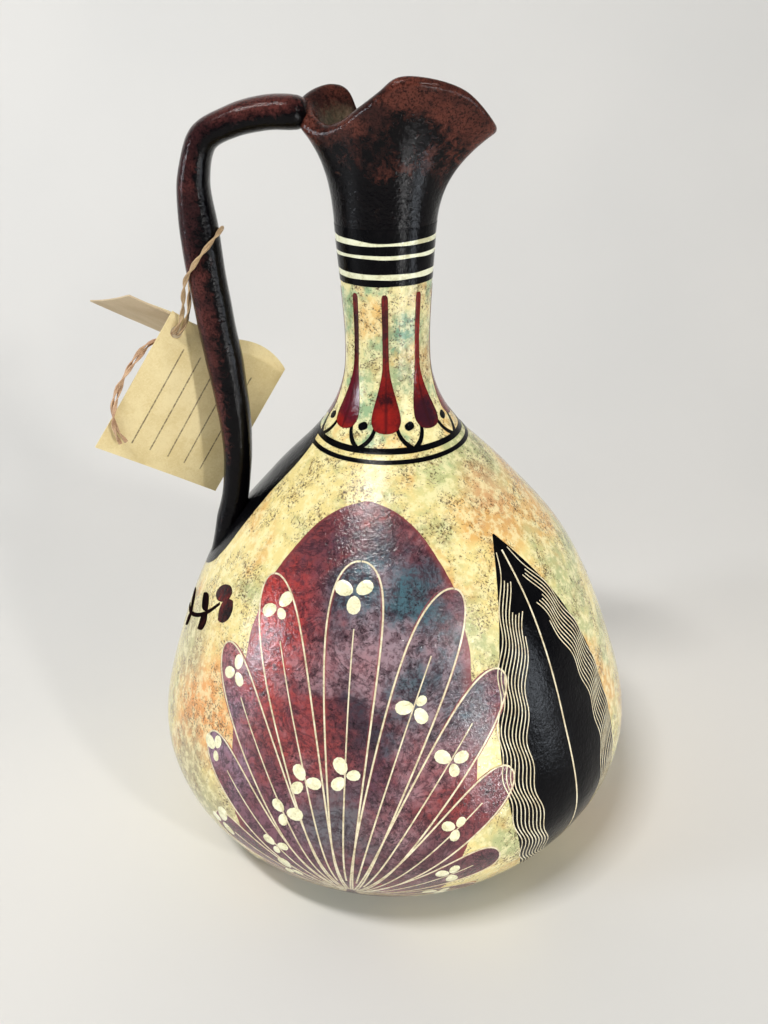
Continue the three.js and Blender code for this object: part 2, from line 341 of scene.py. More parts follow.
def buildWash():
    # Brushed colour that pools light and dark
    tree, given, result = newTree(
        "brushWash", "ShaderNodeTree",
        {"Vector": "Vector", "Size": 40.0, "Light": "Color", "Middle": "Color", "Dark": "Color"},
        {"Color": "Color"},
    )
    broad = grainNoise(tree, given["Vector"], given["Size"], 8.0, 0.68, 0.8)
    streak = grainNoise(tree, given["Vector"], times(tree, given["Size"], 7.0), 4.0, 0.65, 0.5)
    pool = scaled(tree, calc(tree, "SUBTRACT", streak, 0.5), 0.45, broad)
    deep = mixColour(tree, span(tree, pool, 0.34, 0.52), given["Dark"], given["Middle"])
    colour = mixColour(tree, span(tree, pool, 0.5, 0.68), deep, given["Light"])
    tree.links.new(colour, result["Color"])
    return tree


def buildFibre():
    # Fibres pressed or spun together
    tree, given, result = newTree(
        "fibreFleck", "ShaderNodeTree",
        {"Vector": "Vector", "Size": 600.0}, {"Fleck": "Float", "Height": "Float"},
    )
    hair = grainNoise(tree, given["Vector"], given["Size"], 5.0, 0.7, 1.5)
    cloud = grainNoise(tree, given["Vector"], times(tree, given["Size"], 0.12), 3.0)
    tree.links.new(scaled(tree, cloud, 0.5, times(tree, hair, 0.5)), result["Fleck"])
    tree.links.new(hair, result["Height"])
    return tree


varnishGrain = buildVarnish()
spongeMottle = buildSponge()
brushWash = buildWash()
fibreFleck = buildFibre()


def fillGroup(tree, made, inputs):
    return put(tree, "ShaderNodeGroup", inputs, node_tree=made).outputs


def sponged(tree, vector, patch, speck, cover):
    return fillGroup(tree, spongeMottle, {"Vector": vector, "Patch": patch, "Speck": speck, "Cover": cover})


def washed(tree, vector, size, light, middle, dark):
    tones = {"Light": light, "Middle": middle, "Dark": dark}
    return fillGroup(tree, brushWash, {"Vector": vector, "Size": size, **tones})["Color"]


def newMaterial(name):
    material = bpy.data.materials.new(name)
    material.use_nodes = True
    tree = material.node_tree
    return material, tree, tree.nodes["Principled BSDF"].inputs, put(tree, "ShaderNodeTexCoord").outputs


def attribute(tree, name):
    return put(tree, "ShaderNodeAttribute", attribute_name=name).outputs["Fac"]


def dress(tree, surface, colour, roughness, height, strength, depth):
    # Colour, roughness and fine relief of one surface
    bump = put(tree, "ShaderNodeBump", {"Strength": strength, "Distance": depth * mm, "Height": height})
    made = {"Base Color": colour, "Roughness": roughness, "Normal": bump.outputs["Normal"]}
    for name, socket in made.items():
        tree.links.new(socket, surface[name])


varnish = {"Grain": 950.0, "Broken": 0.12, "Gloss": 0.09}
varnishDepth = 0.4


def glaze(tree, surface, vector, colour, bump=0.65, shine=0.35):
    # Colour under the jug's varnish
    coat = fillGroup(tree, varnishGrain, {"Vector": vector, **varnish})
    dress(tree, surface, colour, coat["Roughness"], coat["Height"], bump, varnishDepth)
    surface["Specular IOR Level"].default_value = shine


dab = {"grain": 80.0, "fray": 2.2, "core": 0.25}     # the last two as shares of a dab's reach


def dabbed(tree, vector, colour, dabs):
    # Soft dabs of other colours: place in millimetres, reach, tone, strength
    fray = calc(tree, "SUBTRACT", grainNoise(tree, vector, dab["grain"], 9.0, 0.72), 0.5)
    for place, reach, tone, strength in dabs:
        middle = tuple(value * mm for value in place)
        away = put(tree, "ShaderNodeVectorMath", {0: vector, 1: middle}, operation="DISTANCE")
        edge = scaled(tree, fray, reach * mm * dab["fray"], away.outputs["Value"])
        cover = span(tree, edge, dab["core"] * reach * mm, reach * mm, strength, 0.0)
        colour = mixColour(tree, cover, colour, tone)
    return colour


# Twine, first of the pieces: a loop round the handle and a tail of two strands
twine = {
    "hung": (-54.4, 0.0, 185.1),     # the grip's furthest line at the tag's height
    "loop": [
        (-12.7, 3.3, -5.9), (-12.1, 1.7, -5.75), (-10.9, 0.4, -4.85), (-9.4, 0.3, -2.7),
        (-7.9, -0.7, 0.7), (-6.6, -2.8, 5.5), (-4.9, -4.7, 11.3), (-2, -6.5, 15.5),
        (1.8, -6.6, 19.9), (5.2, -4.3, 23.5), (6.7, 0, 25.3), (5.2, 4.3, 23.9),
        (1.8, 6.6, 20.5), (-2, 6.4, 15.9), (-4.8, 4.6, 11.5), (-5.8, 2.7, 5.7),
        (-6.4, 1.3, 0.5), (-8.2, 0.8, -3.6), (-9.7, 0.85, -5.75), (-10.8, 2.2, -6.65),
        (-11.5, 3.8, -6.8),
    ],
    "loopDiameter": 1.4,
    "tail": [     # in the tag's frame
        (4.1, 2.6, -6.2), (2.4, 2.8, -8.6), (-0.6, 2.4, -11.8), (-2.7, 1, -18.5), (-3.6, -0.6, -25.8),
        (-3.2, -2, -32), (-1.6, -2.9, -37), (1.2, -3.3, -41), (5, -3.2, -43.9),
    ],
    "tailDiameter": 2.4,
    "lay": 13.0,           # length of one twist of a strand
    "tailLay": 30.0,       # length of one turn of the two strands
    "splay": 4.0,          # length over which the tail's cut ends open
    "splayMore": 0.9,      # and the share by which they end further apart
    "strandReach": 0.46,   # shares of a strand's diameter: the tail's strands from its middle,
    "yarnReach": 0.23,     # a strand's yarns from its own, and a yarn's radius
    "yarnRadius": 0.255,
    "swell": 0.16,
    "crease": 0.22,
    "knotSteps": 24,
    "sides": 10,
    "step": 0.42,
}

tag = {
    "beyond": 12.4,      # from the grip to the corner of the fold
    "behind": 1.4,
    "yaw": 17.9,
    "roll": 33.0,
    "lean": 4.1,
    "length": 49.5,
    "width": 41.5,
    "overhang": 13.0,
    "thick": 0.5,
    "opening": 64.0,
    "hole": (4.3, -4.6),
    "holeRadius": 1.9,
    "holeMargin": 0.7,
    "foldGap": 0.15,
    "fineStep": 0.45,    # mesh steps beside the hole, and elsewhere
    "step": 1.6,
    "sharp": 40.0,
    "blendAt": 20.0,     # where the fold's roll is measured, and from where to where it opens
    "blend": (-1.5, 3),
}


def tagFrame():
    turned = (
        Matrix.Rotation(math.radians(tag["yaw"]), 4, "Z")
        @ Matrix.Rotation(math.radians(tag["lean"]), 4, "X")
        @ Matrix.Rotation(math.radians(tag["roll"]), 4, "Y")
    )
    corner = Vector(twine["hung"]) + Vector((-tag["beyond"], tag["behind"], 0))
    return Matrix.Translation(corner) @ turned


def carriedFrames(path):
    # Two directions across the path at each point, carried along it without twist
    frames = []
    across = None
    for place, point in enumerate(path):
        ahead = (path[min(place + 1, len(path) - 1)] - path[max(place - 1, 0)]).normalized()
        if across is None:
            across = ahead.orthogonal().normalized()
        across = (across - ahead * across.dot(ahead)).normalized()
        frames.append((across.copy(), ahead.cross(across)))
    return frames


def woundPath(path, reach, lay, phase, splay=0.0):
    # A line that winds round the path, and opens away from it near the path's end
    lengths = pathLengths(path)
    result = []
    for point, length, (side, lift) in zip(path, lengths, carriedFrames(path)):
        angle = phase + 2 * math.pi * length / lay
        left = (lengths[-1] - length) / splay if splay else 1.0
        away = reach * (1 + twine["splayMore"] * max(1 - left, 0.0))
        result.append(point + side * (away * math.cos(angle)) + lift * (away * math.sin(angle)))
    return result


def addTube(points, faces, weave, path, radius, sides):
    # One closed yarn of creased paper, with its own places along and around for the fibres
    first = len(points)
    lengths = pathLengths(path)
    for place, (point, (side, lift)) in enumerate(zip(path, carriedFrames(path))):
        girth = radius * (1 + twine["swell"] * noise.noise(point * 1.1))
        twist = 2 * math.pi * lengths[place] / twine["lay"]
        for corner in range(sides):
            angle = 2 * math.pi * corner / sides
            fold = girth * (1 + twine["crease"] * math.cos(2 * (angle - twist)))
            points.append(point + side * (fold * math.cos(angle)) + lift * (fold * math.sin(angle)))
            weave.append((lengths[place], corner / sides))
    for ring in ringFaces(len(path), sides):
        faces.append([first + corner for corner in ring])
    faces.append([first + corner for corner in reversed(range(sides))])
    faces.append([first + (len(path) - 1) * sides + corner for corner in range(sides)])


def spunPiece(name, strands, diameter, material):
    # Each strand is two yarns laid round each other
    points, faces, weave = [], [], []
    for strand in strands:
        for phase in (0.0, math.pi):
            yarn = woundPath(strand, diameter * twine["yarnReach"], twine["lay"], phase)
            addTube(points, faces, weave, yarn, diameter * twine["yarnRadius"], twine["sides"])
    piece = meshPiece(name, [point * mm for point in points], faces, material)
    spun = piece.data.uv_layers.new(name="spun")
    for loop in piece.data.loops:
        spun.data[loop.index].uv = weave[loop.vertex_index]
    outwardNormals(piece)
    return piece


def twineMaterial(name, dark, light, aged):
    material, tree, surface, coords = newMaterial(name)
    stretched = put(tree, "ShaderNodeMapping", {"Vector": coords["UV"], "Scale": (0.3, 4.0, 1.0)}).outputs[0]
    fibre = fillGroup(tree, fibreFleck, {"Vector": stretched, "Size": 5.0})
    blotch = grainNoise(tree, coords["Object"], 160.0, 3.0)
    straw = mixColour(tree, span(tree, fibre["Fleck"], 0.34, 0.62), dark, light)
    toned = mixColour(tree, span(tree, blotch, 0.4, 0.75, 0.0, 0.55), straw, aged)
    rough = span(tree, fibre["Fleck"], 0.3, 0.7, 0.9, 0.66)
    dress(tree, surface, toned, rough, fibre["Height"], 0.8, 0.2)
    surface["Sheen Weight"].default_value = 0.15
    return material


def cordLine(knots):
    # A line through the knots in even steps, and its length
    line = smoothPath(knots, twine["knotSteps"])
    length = pathLengths(line)[-1]
    return evenPath(line, round(length / twine["step"])), length


def makeTwine():
    strawTwine = twineMaterial("straw_twine", shade(126, 98, 68), shade(206, 176, 132), shade(158, 122, 88))
    tanTwine = twineMaterial("tan_twine", shade(142, 104, 78), shade(222, 186, 148), shade(180, 132, 102))
    hung, frameOfTag = Vector(twine["hung"]), tagFrame()

    loopLine, loopLength = cordLine([hung + Vector(point) for point in twine["loop"]])
    loop = spunPiece("twine_loop_spun", [loopLine], twine["loopDiameter"], strawTwine)
    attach(loop, "loop")
    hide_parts("twine_loop")

    tailLine, tailLength = cordLine([frameOfTag @ Vector(point) for point in twine["tail"]])
    strand = twine["tailDiameter"] / 2
    reach, lay, splay = strand * twine["strandReach"], twine["tailLay"], twine["splay"]
    strands = [woundPath(tailLine, reach, lay, phase, splay) for phase in (0.0, math.pi)]
    tail = spunPiece("twine_tail_spun", strands, strand, tanTwine)
    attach(tail, "tag")
    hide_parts("twine_tail")
    print(f"twine spun: loop {loopLength:.1f} mm, tail {tailLength:.1f} mm")


makeTwine()


# Outline of the thrown jug, foot to throat: outside radius and height
jug = {
    "outline": [
        (53, 0), (72, 13.5), (83.8, 40.5), (75.5, 74), (61.2, 105),
        (40.8, 129.8), (23.2, 147.8), (15, 161.8), (13, 177.8), (14.8, 208.8),
    ],
    "outlineSteps": 40,
    "bellyWall": 5.0,
    "floor": 6.0,
    "cove": 3.0,            # how the inside rounds over to the floor
    "coveRise": (0.6, 0.2),
    "floorRing": 20.0,
    "neckWall": 4.0,
    "footHollow": 1.4,      # the turned underside
    "footRing": 9.0,
    "hollowEdge": [(-2.5, 1.4), (-1, 0.84), (0, 0.15), (0.8, 0)],     # past the ring's inside, and height
    "footEdge": [(-2.24, 0), (-0.8, 0.2)],     # past the foot's outside, and height
    "footRise": 0.96,       # where the outline takes over
    "neckRoot": 147.8,
    "throat": 208.8,
    "throatRadius": 14.8,
    "around": 176,
    "wander": 0.35,         # how far the hand-thrown wall strays
    "bellySteps": (1.5, 5.0),     # mesh steps outside and inside
    "neckSteps": (0.9, 3.0),
    "rawFoot": 2.0,         # bare clay under the foot up to this height,
    "rawInside": 2.5,       # and this far within the outline
}
outlinePath = smoothPath(jug["outline"], jug["outlineSteps"], even=True)
outlineRadii, outlineHeights = zip(*outlinePath)
outlineLengths = pathLengths(outlinePath)


def findStretch(values, wanted):
    # The stretch of the outline that a value lies in, and its share of the way along it
    for place in range(1, len(values)):
        if values[place] >= wanted or place == len(values) - 1:
            return place, (wanted - values[place - 1]) / (values[place] - values[place - 1])


def onStretch(values, place, share):
    return values[place - 1] + (values[place] - values[place - 1]) * share


def outlineAt(height):
    # Outside radius, and place along the outline, at a height
    stretch = findStretch(outlineHeights, height)
    return onStretch(outlineRadii, *stretch), onStretch(outlineLengths, *stretch)


def heightAlong(length):
    # Height at a place along the outline
    return onStretch(outlineHeights, *findStretch(outlineLengths, length))


def outlineRun(low, high, step):
    # Points of the outline between two heights, in even steps along it
    start, end = outlineAt(low)[1], outlineAt(high)[1]
    count = max(round((end - start) / step), 2)
    heights = [heightAlong(start + (end - start) * place / count) for place in range(count + 1)]
    return [(outlineAt(height)[0], height) for height in heights]


def buildTurnedClay():
    # A profile turned once round the axis, with the small strays of a hand-thrown wall
    tree, given, result = newTree(
        "turnedClay", "GeometryNodeTree",
        {"Profile": "Geometry", "Around": 176, "Wander": 0.0003, "Wander Scale": 24.0,
         "Axis Fade": 40.0, "Finish": "Material"},
        {"Geometry": "Geometry"},
    )
    size = put(tree, "GeometryNodeAttributeDomainSize", {"Geometry": given["Profile"]}, component="MESH")
    rows = size.outputs["Point Count"]
    columns = calc(tree, "ADD", given["Around"], 1)
    grid = put(tree, "GeometryNodeMeshGrid", {
        "Size X": 1.0, "Size Y": 1.0, "Vertices X": columns, "Vertices Y": rows,
    })
    position = ownPlace(tree)
    place = split(tree, position)
    angle = times(tree, calc(tree, "ADD", place["X"], 0.5), 2 * math.pi)
    climb = calc(tree, "ADD", place["Y"], 0.5)
    row = calc(tree, "ROUND", times(tree, climb, calc(tree, "SUBTRACT", rows, 1)))
    sample = put(tree, "GeometryNodeSampleIndex", {
        "Geometry": given["Profile"], "Value": position, "Index": row,
    }, data_type="FLOAT_VECTOR", domain="POINT", clamp=True)
    outer = split(tree, sample.outputs[0])
    cosine, sine = calc(tree, "COSINE", angle), calc(tree, "SINE", angle)
    turned = joined(tree, times(tree, outer["X"], cosine), times(tree, outer["X"], sine), outer["Z"])
    sway = grainNoise(tree, turned, given["Wander Scale"], 1.0, 0.5)
    fade = calc(tree, "MINIMUM", times(tree, outer["X"], given["Axis Fade"]), 1.0)
    reach = times(tree, calc(tree, "SUBTRACT", sway, 0.5), given["Wander"])
    reach = times(tree, reach, fade)
    stray = joined(tree, times(tree, reach, cosine), times(tree, reach, sine), 0.0)
    moved = put(tree, "GeometryNodeSetPosition", {
        "Geometry": grid.outputs["Mesh"], "Position": turned, "Offset": stray,
    })
    closed = put(tree, "GeometryNodeMergeByDistance", {"Geometry": moved.outputs[0], "Distance": 0.00001})
    soft = put(tree, "GeometryNodeSetShadeSmooth", {"Geometry": closed.outputs[0], "Shade Smooth": True})
    return finishTree(tree, soft.outputs[0], given, result)


turnedClay = buildTurnedClay()


def turnPiece(name, profile, finish):
    points = [(x * mm, 0, z * mm) for x, z in profile]
    mesh = bpy.data.meshes.new(name + "_profile")
    mesh.from_pydata(points, [(place, place + 1) for place in range(len(points) - 1)], [])
    source = newObject(name + "_profile", mesh)
    values = {"Around": jug["around"], "Wander": jug["wander"] * mm, "Finish": finish}
    return runTree(source, turnedClay, values, name)


# Painted ground of the belly and the neck
def wallPlace(turn, height):
    # A point of the jug's outside
    radius, angle = outlineAt(height)[0], math.radians(turn)
    return radius * math.cos(angle), radius * math.sin(angle), height


def groundMaterial(name, tones, patch, cover, dabs):
    material, tree, surface, coords = newMaterial(name)
    sponge = sponged(tree, coords["Object"], patch, 1500.0, cover)
    pale = mixColour(tree, span(tree, sponge["Patch"], 0.4, 0.52), tones["green"], tones["cream"])
    warm = mixColour(tree, span(tree, sponge["Warm"], 0.5, 0.62, 0.0, 0.85), pale, tones["orange"])
    toned = dabbed(tree, coords["Object"], warm, dabs)
    fine = grainNoise(tree, coords["Object"], 330.0, 5.0, 0.7)
    light = mixColour(tree, span(tree, fine, 0.44, 0.6, 0.0, 0.6), toned, tones["light"])
    clouded = mixColour(tree, times(tree, sponge["Cloud"], 0.5), light, tones["brown"])
    cracked = mixColour(tree, times(tree, sponge["Crack"], 0.85), clouded, tones["dark"])
    specked = mixColour(tree, times(tree, sponge["Speck"], 0.75), cracked, tones["dark"])
    glaze(tree, surface, coords["Object"], specked)
    return material


groundTones = {
    "cream": shade(226, 208, 140),
    "green": shade(172, 176, 124),
    "orange": shade(216, 164, 92),
    "light": shade(240, 230, 178),
    "brown": shade(128, 92, 50),
    "dark": shade(66, 48, 32),
}
neckTones = dict(
    groundTones, cream=shade(222, 210, 150), green=shade(146, 172, 130), orange=shade(222, 178, 104),
)
bellyDabs = [
    (wallPlace(-142, 70), 34, shade(226, 150, 84), 0.85),
    (wallPlace(-142, 40), 32, shade(150, 150, 118), 0.8),
    (wallPlace(-160, 84), 22, shade(160, 162, 124), 0.7),
    (wallPlace(-34, 134), 16, shade(196, 150, 112), 0.6),
    (wallPlace(-60, 141), 12, shade(168, 186, 134), 0.6),
]
neckDabs = [
    # The first two, darker teal dabs right of the middle tongue are partly the ground's own green and partly
    # painted shade on the neck's right side
    (wallPlace(-66, 182), 10, shade(104, 148, 122), 0.9),
    (wallPlace(-66, 168), 9, shade(120, 152, 116), 0.85),
    (wallPlace(-112, 186), 9, shade(224, 176, 100), 0.75),
    (wallPlace(-110, 172), 8, shade(190, 192, 140), 0.6),
    (wallPlace(-30, 172), 10, shade(178, 142, 92), 0.65),
    (wallPlace(-48, 192), 6, shade(176, 118, 72), 0.5),
]


def rawClayMaterial():
    material, tree, surface, coords = newMaterial("raw_clay")
    sponge = sponged(tree, coords["Object"], 45.0, 900.0, 0.2)
    body = mixColour(tree, span(tree, sponge["Patch"], 0.35, 0.65), shade(168, 120, 86), shade(196, 150, 110))
    grit = mixColour(tree, times(tree, sponge["Speck"], 0.5), body, shade(120, 84, 58))
    rough = span(tree, sponge["Patch"], 0.3, 0.7, 0.78, 0.92)
    dress(tree, surface, grit, rough, grainNoise(tree, coords["Object"], 1400.0, 3.0), 0.4, 0.3)
    return material


rawClay = rawClayMaterial()
bellyGround = groundMaterial("belly_ground", groundTones, 30.0, 0.5, bellyDabs)
neckGround = groundMaterial("neck_ground", neckTones, 75.0, 0.54, neckDabs)


def makeBelly():
    # Outside from the foot up, over the top edge, and down the inside to the floor
    wall, floor, foot, cove = jug["bellyWall"], jug["floor"], jug["outline"][0][0], jug["cove"]
    outStep, inStep = jug["bellySteps"]
    turnUp, lastRise = jug["coveRise"]
    ring = foot - jug["footRing"]
    profile = [(0, jug["footHollow"]), (ring / 2, jug["footHollow"])]
    profile += [(ring + past, height) for past, height in jug["hollowEdge"]]
    profile += [(foot + past, height) for past, height in jug["footEdge"]]
    profile += outlineRun(jug["footRise"], jug["neckRoot"], outStep)
    profile.append((outlineAt(jug["neckRoot"])[0] - jug["neckWall"], jug["neckRoot"]))
    for radius, height in reversed(outlineRun(floor + cove, jug["neckRoot"] - wall, inStep)):
        rise = outlineAt(height + 0.5)[0] - outlineAt(height - 0.5)[0]
        slope = math.hypot(rise, 1)
        profile.append((radius - wall / slope, max(height + wall * rise / slope, floor + turnUp)))
    edge = profile[-1][0]
    profile += [(edge - cove, floor + lastRise), (edge - 2 * cove, floor)]
    profile += [(jug["floorRing"], floor), (0, floor)]
    belly = turnPiece("belly_shell", profile, bellyGround)
    belly.data.materials.append(rawClay)
    for face in belly.data.polygons:
        radius = math.hypot(face.center.x, face.center.y)
        outer = outlineAt(max(face.center.z / mm, 0.1))[0] * mm
        under = face.normal.z < -0.9 and face.center.z < jug["rawFoot"] * mm
        if under or radius < outer - jug["rawInside"] * mm:
            face.material_index = 1
    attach(belly, "jug")
    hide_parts("lower_belly", "upper_belly")
    return belly


def makeNeck():
    outStep, inStep = jug["neckSteps"]
    outside = outlineRun(jug["neckRoot"], jug["throat"], outStep)
    inside = reversed(outlineRun(jug["neckRoot"], jug["throat"], inStep))
    inner = [(radius - jug["neckWall"], height) for radius, height in inside]
    neck = turnPiece("neck_shell", outside + inner + [outside[0]], neckGround)
    neck.data.materials.append(rawClay)
    for face in neck.data.polygons:
        inward = Vector((face.center.x, face.center.y, 0)).normalized().dot(face.normal)
        if inward < -0.2:
            face.material_index = 1
    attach(neck, "jug")
    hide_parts("neck_tube")
    return neck


belly = makeBelly()
neck = makeNeck()
print("belly and neck turned:", len(belly.data.polygons), "and", len(neck.data.polygons), "faces")


# Rust dabbed over black, on the mouth and the handle
def rustMaterial(name, tones, rustShare, inside=False):
    # Rust where the share is above nothing, with a mottled border
    material, tree, surface, coords = newMaterial(name)
    sponge = sponged(tree, coords["Object"], 95.0, 1300.0, 0.55)
    broad = grainNoise(tree, coords["Object"], 48.0, 3.0, 0.6)
    dabs = grainNoise(tree, coords["Object"], 360.0, 5.0, 0.75, 0.5)
    grit = grainNoise(tree, coords["Object"], 1500.0, 3.0, 0.7)
    mottle = scaled(tree, dabs, 1.6, times(tree, grit, 0.8))
    sway = scaled(tree, broad, 1.2, times(tree, sponge["Patch"], 0.9))
    level = calc(tree, "ADD", calc(tree, "ADD", mottle, sway), rustShare(tree, coords))
    rustMask = span(tree, level, 2.13, 2.55)
    tone = mixColour(tree, span(tree, sponge["Warm"], 0.38, 0.62), tones["deep"], tones["rust"])
    grained = mixColour(tree, span(tree, grit, 0.44, 0.62, 0.0, 0.7), tone, tones["shadow"])
    black = mixColour(tree, span(tree, dabs, 0.54, 0.72, 0.0, 0.7), shade(6, 5, 7), tones["shadow"])
    colour = mixColour(tree, rustMask, black, grained)
    worn = mixColour(tree, times(tree, sponge["Speck"], 0.7), colour, shade(10, 7, 8))
    if inside:
        washTones = shade(124, 102, 84), shade(86, 78, 62), shade(48, 46, 39)
        wash = washed(tree, coords["Object"], 90.0, *washTones)
        depth = scaled(tree, calc(tree, "SUBTRACT", dabs, 0.5), 0.3, attribute(tree, "inward"))
        worn = mixColour(tree, span(tree, depth, 0.03, 0.2), worn, wash)
    glaze(tree, surface, coords["Object"], worn, shine=0.12)
    return material


def mouthShare(tree, coords):
    # Rust below the rim, further down towards the spout, with a band of painted shade across the front of the
    # flare
    place = split(tree, coords["Object"])
    border = span(tree, place["X"], -0.012, 0.008, 0.84, 0.5)
    climb = attribute(tree, "climb")
    lip = span(tree, climb, 0.84, 1.0, 0.0, 0.3)
    # Painted shade: a band across the front of the flare, below the lip, where the rust gives way to black
    band = times(tree, span(tree, climb, 0.46, 0.7), span(tree, climb, 0.76, 0.96, 1.0, 0.0))
    front = span(tree, place["Y"], -0.012, -0.006, 1.0, 0.0)
    middle = times(tree, span(tree, place["X"], -0.009, 0.0), span(tree, place["X"], 0.013, 0.024, 1.0, 0.0))
    paintedShade = scaled(tree, times(tree, band, times(tree, front, middle)), -0.2, lip)
    return scaled(tree, calc(tree, "SUBTRACT", climb, border), 1.15, paintedShade)


def handleShare(tree, coords):
    # Rust on the outer side, black towards the neck and at both ends; the black on the inner side, away from
    # the light, and on the lower grip is partly the jug's black paint and partly painted shade
    facing = span(tree, attribute(tree, "facing"), -0.85, 0.5, -0.65, 0.55, "LINEAR")
    lower = span(tree, attribute(tree, "along"), 0.45, 0.84, 0.0, -0.75)
    upper = span(tree, attribute(tree, "along"), 0.02, 0.07, -0.35, 0.0)
    return calc(tree, "ADD", facing, calc(tree, "ADD", lower, upper))


mouthTones = {"rust": shade(94, 50, 40), "deep": shade(50, 27, 24), "shadow": shade(22, 12, 12)}
handleTones = {"rust": shade(84, 44, 40), "deep": shade(48, 25, 26), "shadow": shade(20, 11, 13)}
mouthRust = rustMaterial("mouth_rust", mouthTones, mouthShare, inside=True)
handleRust = rustMaterial("handle_rust", handleTones, handleShare)


mouth = {
    "rim": [     # turn in degrees, reach from the axis, rise above the throat
        (-8, 31.3, 28.6), (-35, 27, 37.2), (-62, 23.2, 40.5), (-80, 21.6, 40.4), (-94, 20, 37.2),
        (-115, 18, 33.4), (-138, 17.6, 30.2), (-155, 19.8, 29.2), (-170, 23, 31.6), (-182, 24.2, 34.6),
        (-196, 22.8, 37.2), (-213, 19.8, 38.6), (-226, 18.2, 37.4), (-236, 17.2, 32.3), (-251, 16.5, 27.3),
        (-285, 19.3, 31), (-315, 23, 36.4), (-340, 27.5, 33.6),
    ],
    "wall": 3.4,
    "flareStart": 0.16,
    "flarePower": 2.7,
    "flareBack": 0.4,       # how much more suddenly the back flares
    "around": 200,
    "rings": 30,
    "lipSpout": 1.6,        # radius of the rolled lip at the spout and at the back
    "lipBack": 2.6,
    "lipSteps": 12,
    "knotSteps": 24,
}


def mouthColumn(point):
    # Up the outside below one point of the rim, round the lip, and down the inside
    throat, start = jug["throatRadius"], mouth["flareStart"]
    reach = math.hypot(point.x, point.y)
    outward = Vector((point.x / reach, point.y / reach, 0))
    back = (1 - outward.x) / 2
    power = mouth["flarePower"] + mouth["flareBack"] * back**2
    lip = mouth["lipSpout"] + (mouth["lipBack"] - mouth["lipSpout"]) * back
    lean = 0.0
    for _ in range(6):
        wide = reach - lip + lip * math.cos(lean) - throat
        tall = point.z - lip - lip * math.sin(lean) - jug["throat"]
        lean = math.atan(wide / tall * (start + (1 - start) * power))
    column = []
    for step in range(mouth["rings"] + 1):
        share = step / mouth["rings"]
        flare = start * share + (1 - start) * share**power
        column.append((throat + wide * flare, jug["throat"] + tall * share))
    for step in range(1, mouth["lipSteps"] + 1):
        angle = math.pi * step / mouth["lipSteps"] - lean
        column.append((reach - lip + lip * math.cos(angle), point.z - lip + lip * math.sin(angle)))
    for step in reversed(range(0, mouth["rings"], 2)):
        share = step / mouth["rings"]
        slope = math.atan(wide / tall * (start + (1 - start) * power * share ** (power - 1)))
        wall = mouth["wall"] + (2 * lip - mouth["wall"]) * share**2
        radius, height = column[step]
        column.append((radius - wall * math.cos(slope), height + wall * math.sin(slope)))
    return [outward * radius + Vector((0, 0, height)) for radius, height in column]


def makeMouth():
    knots = []
    for turn, reach, rise in mouth["rim"]:
        angle = math.radians(turn)
        knots.append((reach * math.cos(angle), reach * math.sin(angle), jug["throat"] + rise))
    rim = smoothPath(knots, mouth["knotSteps"], closed=True)
    rim = evenPath(rim + [rim[0]], mouth["around"])[:-1]
    columns = [mouthColumn(point) for point in reversed(rim)]
    points = [column[ring] * mm for ring in range(len(columns[0])) for column in columns]
    faces = ringFaces(len(columns[0]), mouth["around"], closed=True)
    piece = meshPiece("mouth_shell", points, faces, mouthRust)
    lipEnd = mouth["rings"] + mouth["lipSteps"]
    rings = [ring for ring in range(len(columns[0])) for _ in columns]
    pointValues(piece, "inward", [max(ring - lipEnd, 0) / (mouth["rings"] / 2) for ring in rings])
    pointValues(piece, "climb", [min(ring / mouth["rings"], 1) for ring in rings])
    outwardNormals(piece)
    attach(piece, "jug")
    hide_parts("beaked_mouth")
    return piece


mouthPiece = makeMouth()


handle = {
    "line": [     # centreline from inside the mouth's wall to the tip on the shoulder
        (-21.0, 0, 240.6), (-25.6, 0, 240.9), (-33.0, 0, 240.8), (-41.8, 0, 239.0), (-50.4, 0, 234.7),
        (-54.2, 0, 224.4), (-54.4, 0, 211.2), (-52.8, 0, 187.2), (-50.6, 0, 165.2), (-49.6, 0, 148.5),
        (-51.0, 0, 130.5), (-54.8, 0, 115.5), (-63.6, 0, 98.5),
    ],
    "thickness": [     # share of the length, size
        (0, 6.2), (0.006, 7.6), (0.015, 8.7), (0.03, 9.0), (0.07, 9.0), (0.13, 8.4), (0.2, 8.3),
        (0.34, 11.2), (0.55, 11.2), (0.78, 8.8), (0.88, 8.8), (1, 2.2),
    ],
    "width": [
        (0, 7.4), (0.006, 9.6), (0.015, 11.4), (0.03, 12), (0.09, 12), (0.84, 12), (0.93, 13.5), (1, 8),
    ],
    "knotSteps": 30,
    "steps": 190,
    "sides": 44,
    "square": 2.35,     # 2 is a plain oval
    "stray": 0.3,
}


